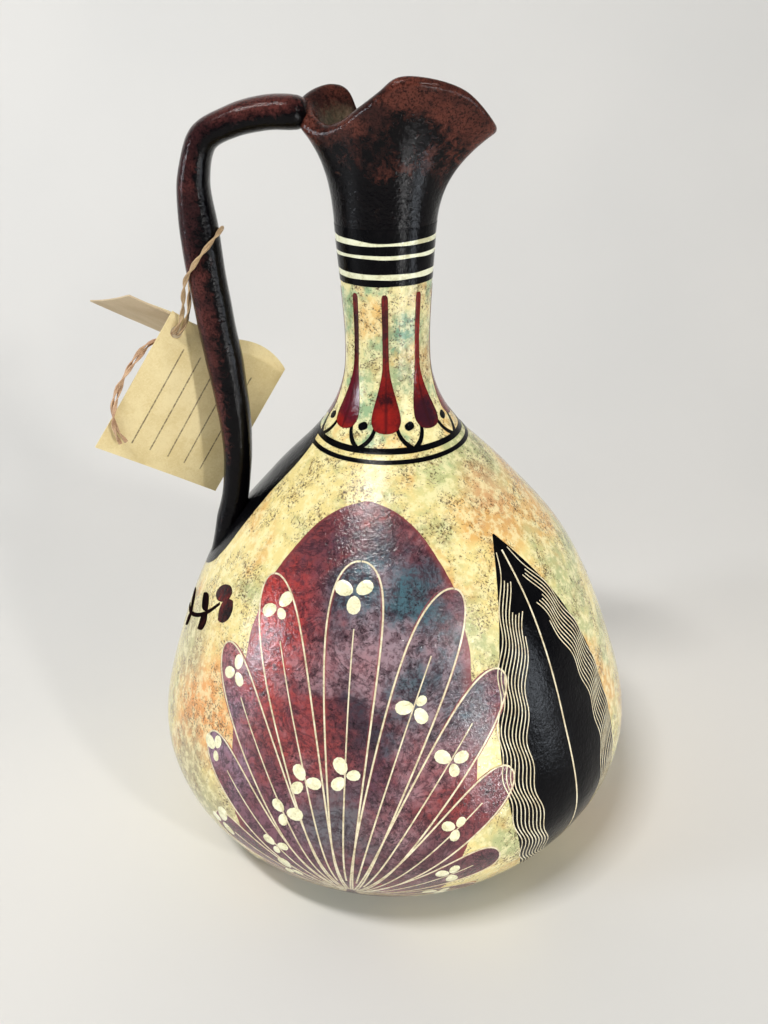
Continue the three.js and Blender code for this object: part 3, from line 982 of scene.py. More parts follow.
def makeHandle():
    line = evenPath(smoothPath(handle["line"], handle["knotSteps"]), handle["steps"])
    across = Vector((0, 1, 0))
    points, facing, along = [], [], []
    for step, middle in enumerate(line):
        share = step / handle["steps"]
        ahead = (line[min(step + 1, handle["steps"])] - line[max(step - 1, 0)]).normalized()
        outward = across.cross(ahead)
        thick, wide = tableValue(handle["thickness"], share) / 2, tableValue(handle["width"], share) / 2
        for side in range(handle["sides"]):
            angle = 2 * math.pi * side / handle["sides"]
            cosine, sine = math.cos(angle), math.sin(angle)
            power = 2 / handle["square"]
            reach = math.copysign(abs(cosine) ** power, cosine) * thick
            lean = math.copysign(abs(sine) ** power, sine) * wide
            point = middle + outward * reach + across * lean
            stray = handle["stray"] * noise.noise(point * 0.09)
            points.append((point + (point - middle).normalized() * stray) * mm)
            facing.append(cosine)
            along.append(share)
    faces = ringFaces(len(line), handle["sides"])
    faces.append(list(reversed(range(handle["sides"]))))
    faces.append([handle["steps"] * handle["sides"] + side for side in range(handle["sides"])])
    piece = meshPiece("handle_strap", points, faces, handleRust)
    pointValues(piece, "facing", facing)
    pointValues(piece, "along", along)
    outwardNormals(piece)
    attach(piece, "jug")
    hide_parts("handle")


makeHandle()
print("mouth and handle made")


# Paint laid on the clay
paintLay = {
    "from": 0.2,          # rays that find the wall start this far out, and reach this far
    "reach": 0.3,
    "sunk": 0.25,         # share of the paint's thickness that lies in the clay
    "sharp": 0.6,
    "leastHalf": 0.03,
    "knotSteps": 16,
    "leastSteps": 6,
}


def joinedClay(pieces):
    # One bare copy of the shells, for paint to find its surface on
    work = bmesh.new()
    for piece in pieces:
        work.from_mesh(piece.data)
    mesh = bpy.data.meshes.new("clay_surface")
    work.to_mesh(mesh)
    work.free()
    return newObject("clay_surface", mesh)


def surfaceSample(tree, clay, what, where):
    field = put(tree, what).outputs[0]
    node = put(tree, "GeometryNodeSampleNearestSurface", {
        "Mesh": clay, "Value": field, "Sample Position": where,
    }, data_type="FLOAT_VECTOR")
    return node.outputs[0]


def laidOn(tree, clay, geometry, rise):
    # Every point moved to the clay's surface, then out by its own rise
    position = ownPlace(tree)
    foot = surfaceSample(tree, clay, "GeometryNodeInputPosition", position)
    outward = surfaceSample(tree, clay, "GeometryNodeInputNormal", position)
    lifted = put(tree, "ShaderNodeVectorMath", {0: outward, "Scale": rise}, operation="SCALE")
    return put(tree, "GeometryNodeSetPosition", {
        "Geometry": geometry, "Position": foot, "Offset": lifted.outputs[0],
    }).outputs[0]


def named(tree, geometry, name, value, kind="FLOAT"):
    return put(tree, "GeometryNodeStoreNamedAttribute", {
        "Geometry": geometry, "Name": name, "Value": value,
    }, data_type=kind, domain="POINT").outputs[0]


def recall(tree, name, kind="FLOAT"):
    return put(tree, "GeometryNodeInputNamedAttribute", {"Name": name}, data_type=kind).outputs[0]


def crispEdges(tree, geometry):
    # Smooth faces with sharp borders
    soft = put(tree, "GeometryNodeSetShadeSmooth", {"Geometry": geometry, "Shade Smooth": True}).outputs[0]
    bend = put(tree, "GeometryNodeInputMeshEdgeAngle").outputs["Unsigned Angle"]
    limit = paintLay["sharp"]
    sharp = put(tree, "FunctionNodeCompare", {0: bend, 1: limit}, operation="GREATER_THAN").outputs[0]
    return put(tree, "GeometryNodeSetShadeSmooth", {
        "Geometry": soft, "Selection": sharp, "Shade Smooth": False,
    }, domain="EDGE").outputs[0]


def buildPaintRound():
    # Brush strokes, drawn as turn and height, repeated round the jug and laid on its wall
    tree, given, result = newTree(
        "paintRound", "GeometryNodeTree",
        {"Strokes": "Geometry", "Clay": "Object", "Copies": 1, "Thick": 0.0001, "Across": 2,
         "Finish": "Material"},
        {"Geometry": "Geometry"},
    )
    clay = put(tree, "GeometryNodeObjectInfo", {"Object": given["Clay"]}).outputs["Geometry"]
    copies = put(tree, "GeometryNodeDuplicateElements", {
        "Geometry": given["Strokes"], "Amount": given["Copies"],
    }, domain="SPLINE").outputs
    place = split(tree, ownPlace(tree))
    part = calc(tree, "DIVIDE", 2 * math.pi, given["Copies"])
    turn = scaled(tree, copies["Duplicate Index"], part, place["X"])
    cosine, sine = calc(tree, "COSINE", turn), calc(tree, "SINE", turn)
    outside, inward = (
        joined(tree, times(tree, cosine, reach), times(tree, sine, reach), height)
        for reach, height in ((paintLay["from"], place["Y"]), (-1.0, 0.0))
    )
    ray = put(tree, "GeometryNodeRaycast", {
        "Target Geometry": clay, "Source Position": outside, "Ray Direction": inward,
        "Ray Length": paintLay["reach"],
    }).outputs
    strokes = named(tree, copies["Geometry"], "wallFacing", ray["Hit Normal"], "FLOAT_VECTOR")
    onWall = {"Geometry": strokes, "Position": ray["Hit Position"]}
    strokes = put(tree, "GeometryNodeSetPosition", onWall).outputs[0]
    strokes = put(tree, "GeometryNodeSetCurveNormal", {
        "Curve": strokes, "Normal": recall(tree, "wallFacing", "FLOAT_VECTOR"),
    }, mode="FREE").outputs[0]
    strokes = named(tree, strokes, "along", put(tree, "GeometryNodeSplineParameter").outputs["Factor"])

    card = put(tree, "GeometryNodeMeshGrid", {
        "Size X": 1.0, "Size Y": 2.0, "Vertices X": 2, "Vertices Y": calc(tree, "ADD", given["Across"], 1),
    }).outputs["Mesh"]
    border = put(tree, "GeometryNodeInputMeshEdgeNeighbors").outputs["Face Count"]
    single = put(tree, "FunctionNodeCompare", {0: border, 1: 1.0}, operation="EQUAL").outputs[0]
    brush = put(tree, "GeometryNodeMeshToCurve", {"Mesh": card, "Selection": single}).outputs[0]
    corner = split(tree, ownPlace(tree))
    brush = named(tree, brush, "lift", corner["X"])
    brush = named(tree, brush, "across", corner["Y"])
    flat = joined(tree, 0.0, corner["Y"], 0.0)
    brush = put(tree, "GeometryNodeSetPosition", {"Geometry": brush, "Position": flat}).outputs[0]

    swept = put(tree, "GeometryNodeCurveToMesh", {
        "Curve": strokes, "Profile Curve": brush, "Scale": put(tree, "GeometryNodeInputRadius").outputs[0],
        "Fill Caps": True,
    }).outputs[0]
    rise = times(tree, calc(tree, "ADD", recall(tree, "lift"), 0.5 - paintLay["sunk"]), given["Thick"])
    laid = crispEdges(tree, laidOn(tree, clay, swept, rise))
    return finishTree(tree, laid, given, result)


paintRound = buildPaintRound()
clay = joinedClay([belly, neck, mouthPiece])


def paint(name, strokes, finish, copies=1, thick=0.1, across=2, ring=False):
    # Strokes are lists of (turn in degrees, height, half width)
    data = bpy.data.curves.new(name + "_strokes", "CURVE")
    data.dimensions = "3D"
    for stroke in strokes:
        line = data.splines.new("POLY")
        line.points.add(len(stroke) - 1)
        line.use_cyclic_u = ring
        for point, (turn, height, half) in zip(line.points, stroke):
            point.co = (math.radians(turn), height * mm, 0, 1)
            point.radius = max(half, paintLay["leastHalf"]) * mm
    source = newObject(name + "_strokes", data)
    values = {"Clay": clay, "Copies": copies, "Thick": thick * mm, "Across": across, "Finish": finish}
    piece = runTree(source, paintRound, values, name)
    outwardNormals(piece)
    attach(piece, "jug")


def brushed(points, step=0.8):
    # A stroke of (turn, height, half width) smoothed through its points
    radius = outlineAt(points[0][1])[0]
    knots = [(math.radians(turn) * radius, height, half) for turn, height, half in points]
    path = smoothPath(knots, paintLay["knotSteps"])
    count = max(round(pathLengths(path)[-1] / step), paintLay["leastSteps"])
    least = paintLay["leastHalf"]
    return [(math.degrees(x / radius), height, max(half, least)) for x, height, half in evenPath(path, count)]


ringWaver = {"step": 2, "stray": 0.12, "swell": 0.12}     # of a ring drawn by hand on a turning wheel


def ringStroke(height, half, seed=0.0):
    stroke = []
    for turn in range(0, 360, ringWaver["step"]):
        around = Vector((math.cos(math.radians(turn)), math.sin(math.radians(turn)), seed))
        stray = ringWaver["stray"] * noise.noise(around * 1.3)
        swell = ringWaver["swell"] * noise.noise(around * 2.1)
        stroke.append((turn, height + stray, half * (1 + swell)))
    return stroke


# Paints
def brushPaint(name, tones, size=60.0, edge=0.35, crease=0.0, dabs=(), shine=0.3):
    # Three tones from light to dark, darkest along the edges and any crease of a stroke
    light, middle, dark = (shade(*tone) for tone in tones)
    material, tree, surface, coords = newMaterial(name)
    colour = washed(tree, coords["Object"], size, light, middle, dark)
    if dabs:
        colour = dabbed(tree, coords["Object"], colour, dabs)
    across = calc(tree, "ABSOLUTE", attribute(tree, "across"))
    rim, fold = span(tree, across, 0.7, 1.0, 0.0, edge), span(tree, across, 0.02, 0.2, crease, 0.0)
    colour = mixColour(tree, calc(tree, "MAXIMUM", rim, fold), colour, dark)
    glaze(tree, surface, coords["Object"], colour, bump=0.5, shine=shine)
    return material


tongueDabs = [
    (wallPlace(-48, 157), 9, shade(44, 16, 28), 0.9),
    (wallPlace(-138, 182), 16, shade(44, 11, 15), 0.95),
    (wallPlace(-138, 163), 11, shade(84, 20, 36), 0.85),
    (wallPlace(-93, 157), 6, shade(152, 30, 24), 0.6),
    (wallPlace(132, 160), 10, shade(52, 16, 28), 0.85),
    (wallPlace(42, 178), 12, shade(58, 16, 22), 0.8),
]
blackPaint = brushPaint("black_paint", [(12, 11, 13), (7, 7, 9), (4, 4, 6)], edge=0.2, shine=0.07)
sprigPaint = brushPaint("sprig_paint", [(44, 22, 20), (24, 14, 14), (12, 9, 10)], 120.0, shine=0.0)
tonguePaint = brushPaint(
    "tongue_paint", [(138, 30, 23), (104, 21, 18), (48, 12, 16)], 90.0, crease=0.6, dabs=tongueDabs,
)
berryPaint = brushPaint("berry_paint", [(122, 34, 28), (66, 20, 20), (24, 14, 15)], 150.0, shine=0.12)
linePaint = brushPaint("cream_line_paint", [(238, 230, 202), (222, 210, 176), (184, 168, 134)], 300.0)
ringWhite = brushPaint(
    "ring_white_paint", [(234, 234, 206), (222, 222, 188), (192, 188, 150)], 120.0, edge=0.0,
)
blossomPaint = brushPaint("blossom_paint", [(246, 244, 218), (234, 230, 192), (204, 198, 154)], 260.0)


def washMaterial(name, tones, size, dabs):
    # Red that runs into maroon, violet and blue-grey, the same on both sides of the jug
    red, maroon, violet = (shade(*tone) for tone in tones)
    material, tree, surface, coords = newMaterial(name)
    wash = washed(tree, coords["Object"], size, red, maroon, violet)
    sponge = sponged(tree, coords["Object"], 40.0, 1200.0, 0.5)
    place = split(tree, coords["Object"])
    side = times(tree, calc(tree, "SIGN", place["Y"]), -1.0)
    front = joined(tree, times(tree, place["X"], side), times(tree, place["Y"], side), place["Z"])
    toned = dabbed(tree, front, wash, dabs)
    # Pale lilac mottling, partly the wash's own paler tone and partly painted sheen
    pale = mixColour(tree, span(tree, sponge["Patch"], 0.5, 0.66, 0.0, 0.65), toned, shade(172, 140, 146))
    fine = grainNoise(tree, coords["Object"], 520.0, 5.0, 0.72, 0.4)
    grained = mixColour(tree, span(tree, fine, 0.4, 0.54, 0.65, 0.0), pale, shade(66, 38, 46))
    vein = calc(tree, "ABSOLUTE", calc(tree, "SUBTRACT", grainNoise(tree, front, 70.0, 7.0, 0.66, 1.0), 0.5))
    grained = mixColour(tree, span(tree, vein, 0.004, 0.03, 0.55, 0.0), grained, shade(40, 26, 34))
    clouded = mixColour(tree, times(tree, sponge["Cloud"], 0.5), grained, shade(40, 24, 32))
    cracked = mixColour(tree, times(tree, sponge["Crack"], 0.8), clouded, shade(24, 16, 22))
    speck = mixColour(tree, times(tree, sponge["Speck"], 0.5), cracked, shade(26, 16, 22))
    border = span(tree, calc(tree, "ABSOLUTE", attribute(tree, "across")), 0.86, 1.0, 0.0, 0.6)
    colour = mixColour(tree, border, speck, red)
    glaze(tree, surface, coords["Object"], colour, bump=0.75, shine=0.4)
    return material


washDabs = [
    (wallPlace(-130, 104), 30, shade(190, 62, 52), 0.8),
    (wallPlace(-92, 114), 26, shade(62, 100, 110), 0.9),
    (wallPlace(-82, 92), 26, shade(78, 104, 112), 0.8),
    (wallPlace(-100, 84), 15, shade(40, 46, 56), 0.8),
    (wallPlace(-110, 74), 20, shade(168, 66, 60), 0.6),
    (wallPlace(-116, 42), 36, shade(118, 80, 94), 0.85),
    (wallPlace(-84, 40), 36, shade(100, 66, 72), 0.85),
    # A painted highlight: this pale lilac dab stands for the window's reflection on the left of the wash
    (wallPlace(-136, 66), 24, shade(156, 126, 146), 0.7),
    (wallPlace(-102, 54), 20, shade(96, 104, 108), 0.75),
    (wallPlace(-78, 64), 18, shade(140, 46, 42), 0.6),
]
fanWash = washMaterial("fan_wash", [(136, 60, 58), (106, 58, 64), (80, 56, 70)], 26.0, washDabs)
petalWash = washMaterial("petal_wash", [(156, 66, 62), (124, 64, 68), (96, 64, 76)], 34.0, washDabs)


# Ornament of the neck: rings, tongues, dots and scallops
neckOrnament = {
    "turn": -93.0,
    "leans": (0.5, 0.5, 3, -2, 4, -3, 2, 6),     # how far each tongue's top leans
    "leanFrom": 165.0,
    "leanOver": 28.0,
    "tongue": [     # height and half width, top to bottom
        (193.2, 0.45), (192.6, 0.85), (190, 0.95), (182, 0.9), (175, 0.92), (170, 1.15), (166, 1.95),
        (162, 3.1), (158.5, 4.2), (156, 4.6), (154, 3.9), (153, 2.4), (152.6, 0.5),
    ],
    "dotHeight": 154.3,
    "dot": [        # turn and rise from its middle, half width
        (-4.4, -0.6, 0.1), (-3.4, -0.45, 0.9375), (0, 0, 1.25), (3.2, 0.45, 1.0), (4.4, 0.6, 0.1),
    ],
    "scallop": [    # turn from a tongue, height, half width
        (10, 154.4, 0.5), (12, 152.2, 0.62), (16, 150.2, 0.7),
    ],
    "scallopFoot": (148.4, 0.7),
    "white": (203.1, 6.4),
    "rings": [      # height and half width
        (196.5, 0.95), (201.2, 2.1), (205.65, 1.3), (148.3, 0.95), (145.7, 0.72),
    ],
    "ringSeed": 0.37,
    "topLine": [    # turn and height where the black of the mouth ends
        (-180, 209.3), (-135, 208.6), (-95, 207.7), (-40, 208.2), (0, 208.4), (90, 207.9), (180, 209.3),
    ],
    "topBlack": 211.5,
}


def paintNeck():
    turn, count = neckOrnament["turn"], len(neckOrnament["leans"])
    step = 360 / count
    tongues = []
    for place, lean in enumerate(neckOrnament["leans"]):
        tongue = []
        for height, half in neckOrnament["tongue"]:
            over = max(height - neckOrnament["leanFrom"], 0) / neckOrnament["leanOver"]
            tongue.append((turn + place * step + lean * over, height, half))
        tongues.append(brushed(tongue, 0.5))
    paint("neck_tongues", tongues, tonguePaint, thick=0.14, across=8)

    middle, dotHeight = turn + step / 2, neckOrnament["dotHeight"]
    dot = [(middle + past, dotHeight + rise, half) for past, rise, half in neckOrnament["dot"]]
    marks = [brushed(dot, 0.25)]
    for start, hand in ((turn, 1), (turn + step, -1)):
        arc = [(start + hand * past, height, half) for past, height, half in neckOrnament["scallop"]]
        marks.append(brushed(arc + [(middle, *neckOrnament["scallopFoot"])], 0.4))
    paint("neck_scallops", marks, blackPaint, copies=count, thick=0.12, across=3)

    white = [ringStroke(*neckOrnament["white"])]
    paint("neck_white", white, ringWhite, thick=0.06, across=10, ring=True)
    rings = []
    for place, (height, half) in enumerate(neckOrnament["rings"]):
        rings.append(ringStroke(height, half, neckOrnament["ringSeed"] * place))
    paint("neck_rings", rings, blackPaint, thick=0.12, across=4, ring=True)
    top, high = [], neckOrnament["topBlack"]
    for around in range(-180, 180, ringWaver["step"]):
        low = tableValue(neckOrnament["topLine"], around)
        top.append((around, (low + high) / 2, (high - low) / 2))
    paint("neck_top_black", [top], blackPaint, thick=0.12, across=4, ring=True)


paintNeck()
print("neck painted")


# Black patch under the handle
handlePatch = {
    "turn": 180,
    "shape": [     # height and half width
        (148.5, 5.0), (144, 8.6), (138.8, 11.0), (128.4, 12.6), (120.4, 14.4), (113.5, 15.6), (108, 14.2),
        (104, 10.6), (101, 6.2), (99.2, 2.6), (98.6, 0.2),
    ],
}
patchStroke = [(handlePatch["turn"], height, half) for height, half in handlePatch["shape"]]
paint("handle_patch", [brushed(patchStroke)], blackPaint, across=16)


# Palmette fan and lotus bud, twice round the belly
def onBelly(turn, base, side, climb):
    # Turn and height of a point that lies sideways and up the wall from a base point
    height = heightAlong(outlineAt(base)[1] + climb)
    return turn + math.degrees(side / outlineAt(height)[0]), height


palmette = {
    "turn": -101.0,
    "heart": 19.0,
    "copies": 2,
    "wash": [     # height and half width of the wash behind the petals
        (11, 8), (14, 18), (22, 29), (36, 37), (54, 41), (76, 42), (96, 40), (111, 35), (122, 28), (130, 19),
        (135, 9), (137, 1),
    ],
    "petals": [   # lean, curl, length, half width
        (0, 0, 116, 10.5), (12.5, 5, 110, 10.0), (25, 9, 92, 9.4), (39, 13, 71, 8.4),
        (56, 17, 53, 7.4), (78, 22, 40, 6.0),
    ],
    "washStray": 0.06,
    "petalSteps": 80,
    "petalSwell": 0.85,                # powers of a petal's widening and of its round tip
    "petalTip": 9,
    "petalRoot": 0.15,
    "lineHalf": 0.27,
    "rib": (0.12, 0.84),               # shares of a petal's length
    "blossoms": [0.46, 0.7, 0.92],
    "blossomFrom": 24.0,               # least distance from the heart
    "blossomStray": 3.0,
}


def petalLine(lean, curl, length):
    # Share of the length, sideways and upward places along one petal, closer together at its tip
    side, climb = 0.0, 0.0
    line = [(0.0, 0.0, 0.0)]
    for step in range(palmette["petalSteps"]):
        before, share = line[-1][0], 1 - (1 - (step + 1) / palmette["petalSteps"]) ** 2
        angle = math.radians(lean + curl * (before + share) / 2)
        side += math.sin(angle) * length * (share - before)
        climb += math.cos(angle) * length * (share - before)
        line.append((share, side, climb))
    return line


def petalHalf(share, half):
    tip = math.sqrt(max(1 - share ** palmette["petalTip"], 0.0))
    return half * max(share, 0.0) ** palmette["petalSwell"] * tip + palmette["petalRoot"]


def fanPetals():
    for lean, curl, length, half in palmette["petals"]:
        for hand in ((1,) if lean == 0 else (1, -1)):
            yield lean * hand, curl * hand, length, half


def paintPalmette():
    turn, heart, copies = palmette["turn"], palmette["heart"], palmette["copies"]
    wash = []
    for around, height, half in brushed([(turn, height, half) for height, half in palmette["wash"]], 1.2):
        stray = palmette["washStray"] * noise.noise(Vector((height * 0.11, 4.2, 0.3)))
        wash.append((around, height, half * (1 + stray)))
    paint("belly_wash", [wash], fanWash, copies=copies, thick=0.08, across=44)
    thin, (ribStart, ribEnd) = palmette["lineHalf"], palmette["rib"]
    petals, lines, blossoms = [], [], []
    for count, (lean, curl, length, half) in enumerate(fanPetals()):
        line = petalLine(lean, curl, length)
        petal, left, right, rib = [], [], [], []
        for step, (share, side, climb) in enumerate(line):
            wide = petalHalf(share, half)
            middle = onBelly(turn, heart, side, climb)
            petal.append((*middle, wide))
            _, aheadSide, aheadClimb = line[min(step + 1, len(line) - 1)]
            _, beforeSide, beforeClimb = line[max(step - 1, 0)]
            run = math.hypot(aheadSide - beforeSide, aheadClimb - beforeClimb)
            outSide, outClimb = (aheadClimb - beforeClimb) / run * wide, (beforeSide - aheadSide) / run * wide
            left.append((*onBelly(turn, heart, side - outSide, climb - outClimb), thin))
            right.append((*onBelly(turn, heart, side + outSide, climb + outClimb), thin))
            if ribStart < share < ribEnd:
                rib.append((*middle, thin * (1.1 - 0.5 * share)))
        petals.append(petal)
        lines += [left[2:], right[2:], rib]
        for place, share in enumerate(palmette["blossoms"]):
            if length * share > palmette["blossomFrom"] and (count + place) % 2 == 0:
                shift = palmette["blossomStray"] * noise.noise(Vector((count * 3.7, place * 1.9, 0.4)))
                _, side, climb = min(line, key=lambda spot: abs(spot[0] - share))
                blossoms.append(onBelly(turn, heart, side + shift, climb))
    paint("belly_petals", petals, petalWash, copies=copies, thick=0.12, across=10)
    paint("belly_fan_lines", lines, linePaint, copies=copies, thick=0.19)
    return blossoms


blossomPlaces = paintPalmette()
print("palmette painted,", len(blossomPlaces), "blossoms to a fan")


bud = {
    "turn": -47.0,
    "body": [     # height and half width
        (13, 4), (17, 13), (26, 20), (40, 25), (56, 27.5), (72, 26.5), (88, 22), (100, 16.5), (112, 9.5),
        (120, 4), (125, 0.3),
    ],
    "combs": 9,
    "combStep": 1.25,
    "combInset": 1.2,
    "combLeast": 1.5,       # no comb line comes nearer to the spine
    "wave": 0.7,
    "waveTurn": 0.42,       # radians to a millimetre, and from comb to comb
    "waveShift": 0.35,
    "lineHalf": 0.17,
    "spineHalf": 0.3,
    "spineFrom": 3.0,       # least half width of the bud beside the spine
}


def paintBud():
    turn, copies = bud["turn"], palmette["copies"]
    body = brushed([(turn, height, half) for height, half in bud["body"]], 1.0)
    paint("belly_bud", [body], blackPaint, copies=copies, thick=0.1, across=26)
    lines = []
    for hand in (1, -1):
        for comb in range(bud["combs"]):
            line = []
            for _, height, half in body:
                wave = bud["wave"] * math.sin(height * bud["waveTurn"] + comb * bud["waveShift"])
                side = half - bud["combInset"] - comb * bud["combStep"] + wave
                if side > bud["combLeast"]:
                    around = turn + hand * math.degrees(side / outlineAt(height)[0])
                    line.append((around, height, bud["lineHalf"]))
            cut = 2 + (comb * 5) % 7     # points left off each end, so that the ends are uneven
            if len(line) > 2 * cut + 6:
                lines.append(line[cut:-cut])
    spine = [(around, height, bud["spineHalf"]) for around, height, half in body if half > bud["spineFrom"]]
    lines.append(spine)
    paint("belly_bud_lines", lines, linePaint, copies=copies, thick=0.17)


paintBud()


# Berry sprig and the bands at the foot
sprig = {     # strokes of turn, height and half width
    "leaves": [
        [(-176, 83.6, 0.5), (-171, 85.4, 0.9), (-166, 87.5, 0.75), (-158.7, 92, 0.7), (-153.7, 96.3, 0.65),
         (-149.5, 101.2, 0.5)],
        [(-154.7, 95.8, 0.4), (-156.5, 96.4, 2.0), (-158.5, 96.9, 2.8), (-160.5, 97.2, 1.9),
         (-162.3, 97.4, 0.2)],
        [(-166, 87.6, 0.4), (-169, 88.6, 2.0), (-172, 89.2, 2.6), (-175, 89.2, 1.6), (-177.5, 88.6, 0.2)],
        [(-166, 87.2, 0.4), (-167.2, 85, 1.9), (-168.6, 82.6, 1.7), (-169.5, 80.5, 0.2)],
        [(-154.3, 95.4, 0.5), (-154.6, 93.4, 2.2), (-155.4, 91.2, 2.4), (-156.4, 89.2, 0.8),
         (-156.8, 88.6, 0.2)],
    ],
    "berries": [
        [(-153.8, 102.2, 0.3), (-152.6, 102.8, 2.0), (-149.8, 104.3, 2.8), (-147, 105.7, 2.0),
         (-145.9, 106.2, 0.3)],
        [(-147, 97.2, 0.3), (-146.4, 98.6, 2.4), (-145.5, 101, 3.4), (-144.5, 103.3, 2.4),
         (-143.9, 104.6, 0.3)],
    ],
    "copies": 2,
}
footRings = [(9.0, 0.5, 0.0), (5.6, 0.9, 0.7)]     # height, half width, seed


def paintSprig():
    leaves = [brushed(stroke, 0.35) for stroke in sprig["leaves"]]
    paint("belly_sprig", leaves, sprigPaint, copies=sprig["copies"], thick=0.12, across=4)
    berries = [brushed(stroke, 0.3) for stroke in sprig["berries"]]
    paint("belly_berries", berries, berryPaint, copies=sprig["copies"], thick=0.2, across=6)


paintSprig()
footStrokes = [ringStroke(*ring) for ring in footRings]
paint("foot_rings", footStrokes, blackPaint, thick=0.12, across=3, ring=True)
print("bud, sprig and foot rings painted")


# Three-petalled blossoms dabbed over the fan
blossom = {
    "petals": 3,
    "long": 2.6,
    "wide": 2.0,
    "rise": 0.24,
    "out": 2.9,
    "egg": 0.12,         # how much broader a petal is at its far end
    "dome": 0.97,
    "sunk": 0.06,
    "sides": 12,
    "rings": 3,
    "sizes": (0.68, 1.28),
    "jitter": 0.4,
    "jitterSeed": 5,
    "seed": 11,
}


def blossomPetal():
    # One thick dab of paint, domed above and flat below
    work = bmesh.new()
    sides, rise = blossom["sides"], blossom["rise"] * mm
    top = work.verts.new((blossom["out"] * mm, 0, rise))
    loops = []
    for ring in range(1, blossom["rings"] + 1):
        share = ring / blossom["rings"]
        height = rise * math.sqrt(1 - share**3 * blossom["dome"])
        loop = []
        for side in range(sides):
            angle = 2 * math.pi * side / sides
            x = blossom["out"] + blossom["long"] * share * math.cos(angle)
            y = blossom["wide"] * share * math.sin(angle) * (1 + blossom["egg"] * math.cos(angle))
            loop.append(work.verts.new((x * mm, y * mm, height)))
        loops.append(loop)
    bottom = [work.verts.new((vert.co.x, vert.co.y, -blossom["sunk"] * mm)) for vert in loops[-1]]
    loops.append(bottom)
    for side in range(sides):
        beside = (side + 1) % sides
        work.faces.new((top, loops[0][side], loops[0][beside]))
        for inner, outer in zip(loops, loops[1:]):
            work.faces.new((inner[side], outer[side], outer[beside], inner[beside]))
    work.faces.new(list(reversed(bottom)))
    mesh = bpy.data.meshes.new("blossom_petal")
    work.to_mesh(mesh)
    work.free()
    return newObject("blossom_petal", mesh)


def chance(tree, index, seed, low, high):
    limits = {"ID": index, "Seed": seed, 2: low, 3: high}
    return put(tree, "FunctionNodeRandomValue", limits, data_type="FLOAT").outputs[1]


def buildBlossoms():
    # Petals round each chosen point, turned by chance, and laid on the wall
    tree, given, result = newTree(
        "blossomScatter", "GeometryNodeTree",
        {"Points": "Geometry", "Clay": "Object", "Petal": "Object", "Petals": 3, "Seed": 1,
         "Finish": "Material"},
        {"Geometry": "Geometry"},
    )
    clayShape, petal = (
        put(tree, "GeometryNodeObjectInfo", {"Object": given[name]}).outputs["Geometry"]
        for name in ("Clay", "Petal")
    )
    position = ownPlace(tree)
    petal = named(tree, petal, "rise", split(tree, position)["Z"])
    index = put(tree, "GeometryNodeInputIndex").outputs[0]
    points = named(tree, given["Points"], "spin", chance(tree, index, given["Seed"], 0.0, 2 * math.pi))
    cloud = put(tree, "GeometryNodeMeshToPoints", {"Mesh": points}).outputs[0]
    copies = put(tree, "GeometryNodeDuplicateElements", {
        "Geometry": cloud, "Amount": given["Petals"],
    }, domain="POINT").outputs
    part = calc(tree, "DIVIDE", 2 * math.pi, given["Petals"])
    jitter = chance(tree, index, blossom["jitterSeed"], -blossom["jitter"], blossom["jitter"])
    first = calc(tree, "ADD", recall(tree, "spin"), jitter)
    twist = joined(tree, 0.0, 0.0, scaled(tree, copies["Duplicate Index"], part, first))
    upright = put(tree, "FunctionNodeAlignRotationToVector", {
        "Vector": surfaceSample(tree, clayShape, "GeometryNodeInputNormal", position),
    }, axis="Z").outputs[0]
    turned = put(tree, "FunctionNodeRotateRotation", {
        "Rotation": upright, "Rotate By": put(tree, "FunctionNodeEulerToRotation", {0: twist}).outputs[0],
    }, rotation_space="LOCAL").outputs[0]
    size = chance(tree, index, given["Seed"], *blossom["sizes"])
    placed = put(tree, "GeometryNodeInstanceOnPoints", {
        "Points": copies["Geometry"], "Instance": petal, "Rotation": turned, "Scale": size,
    }).outputs[0]
    loose = put(tree, "GeometryNodeRealizeInstances", {"Geometry": placed}).outputs[0]
    laid = crispEdges(tree, laidOn(tree, clayShape, loose, recall(tree, "rise")))
    return finishTree(tree, laid, given, result)


def makeBlossoms():
    petal = blossomPetal()
    points = []
    for copy in range(palmette["copies"]):
        for turn, height in blossomPlaces:
            place = wallPlace(turn + copy * 360 / palmette["copies"], height)
            points.append([value * mm for value in place])
    mesh = bpy.data.meshes.new("blossom_places")
    mesh.from_pydata(points, [], [])
    source = newObject("blossom_places", mesh)
    values = {
        "Clay": clay, "Petal": petal, "Petals": blossom["petals"], "Seed": blossom["seed"],
        "Finish": blossomPaint,
    }
    piece = runTree(source, buildBlossoms(), values, "belly_blossoms")
    bpy.data.objects.remove(petal)
    outwardNormals(piece)
    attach(piece, "jug")


makeBlossoms()
bpy.data.objects.remove(clay)
print("blossoms dabbed on")


# Folded card tag
inkRules = {
    "count": 7.0,
    "half": (0.025, 0.05),
    "across": (0.13, 0.86),     # where the rules start and end, as shares of the leaf
    "along": (0.16, 0.88),
    "soft": 0.01,
    "tone": shade(86, 66, 50),
}


def window(tree, value, low, high):
    # One between two limits, nothing outside them
    soft = inkRules["soft"]
    return times(tree, span(tree, value, low, low + soft), span(tree, value, high, high + soft, 1.0, 0.0))


def inkMask(tree, coords):
    place = split(tree, coords["UV"])
    rows = calc(tree, "FRACT", times(tree, place["X"], inkRules["count"]))
    row = span(tree, calc(tree, "ABSOLUTE", calc(tree, "SUBTRACT", rows, 0.5)), *inkRules["half"], 1.0, 0.0)
    inside = times(
        tree, window(tree, place["X"], *inkRules["across"]), window(tree, place["Y"], *inkRules["along"]),
    )
    worn = span(tree, grainNoise(tree, coords["Object"], 1600.0, 3.0), 0.3, 0.6, 0.35, 0.85)
    return times(tree, times(tree, row, inside), worn)


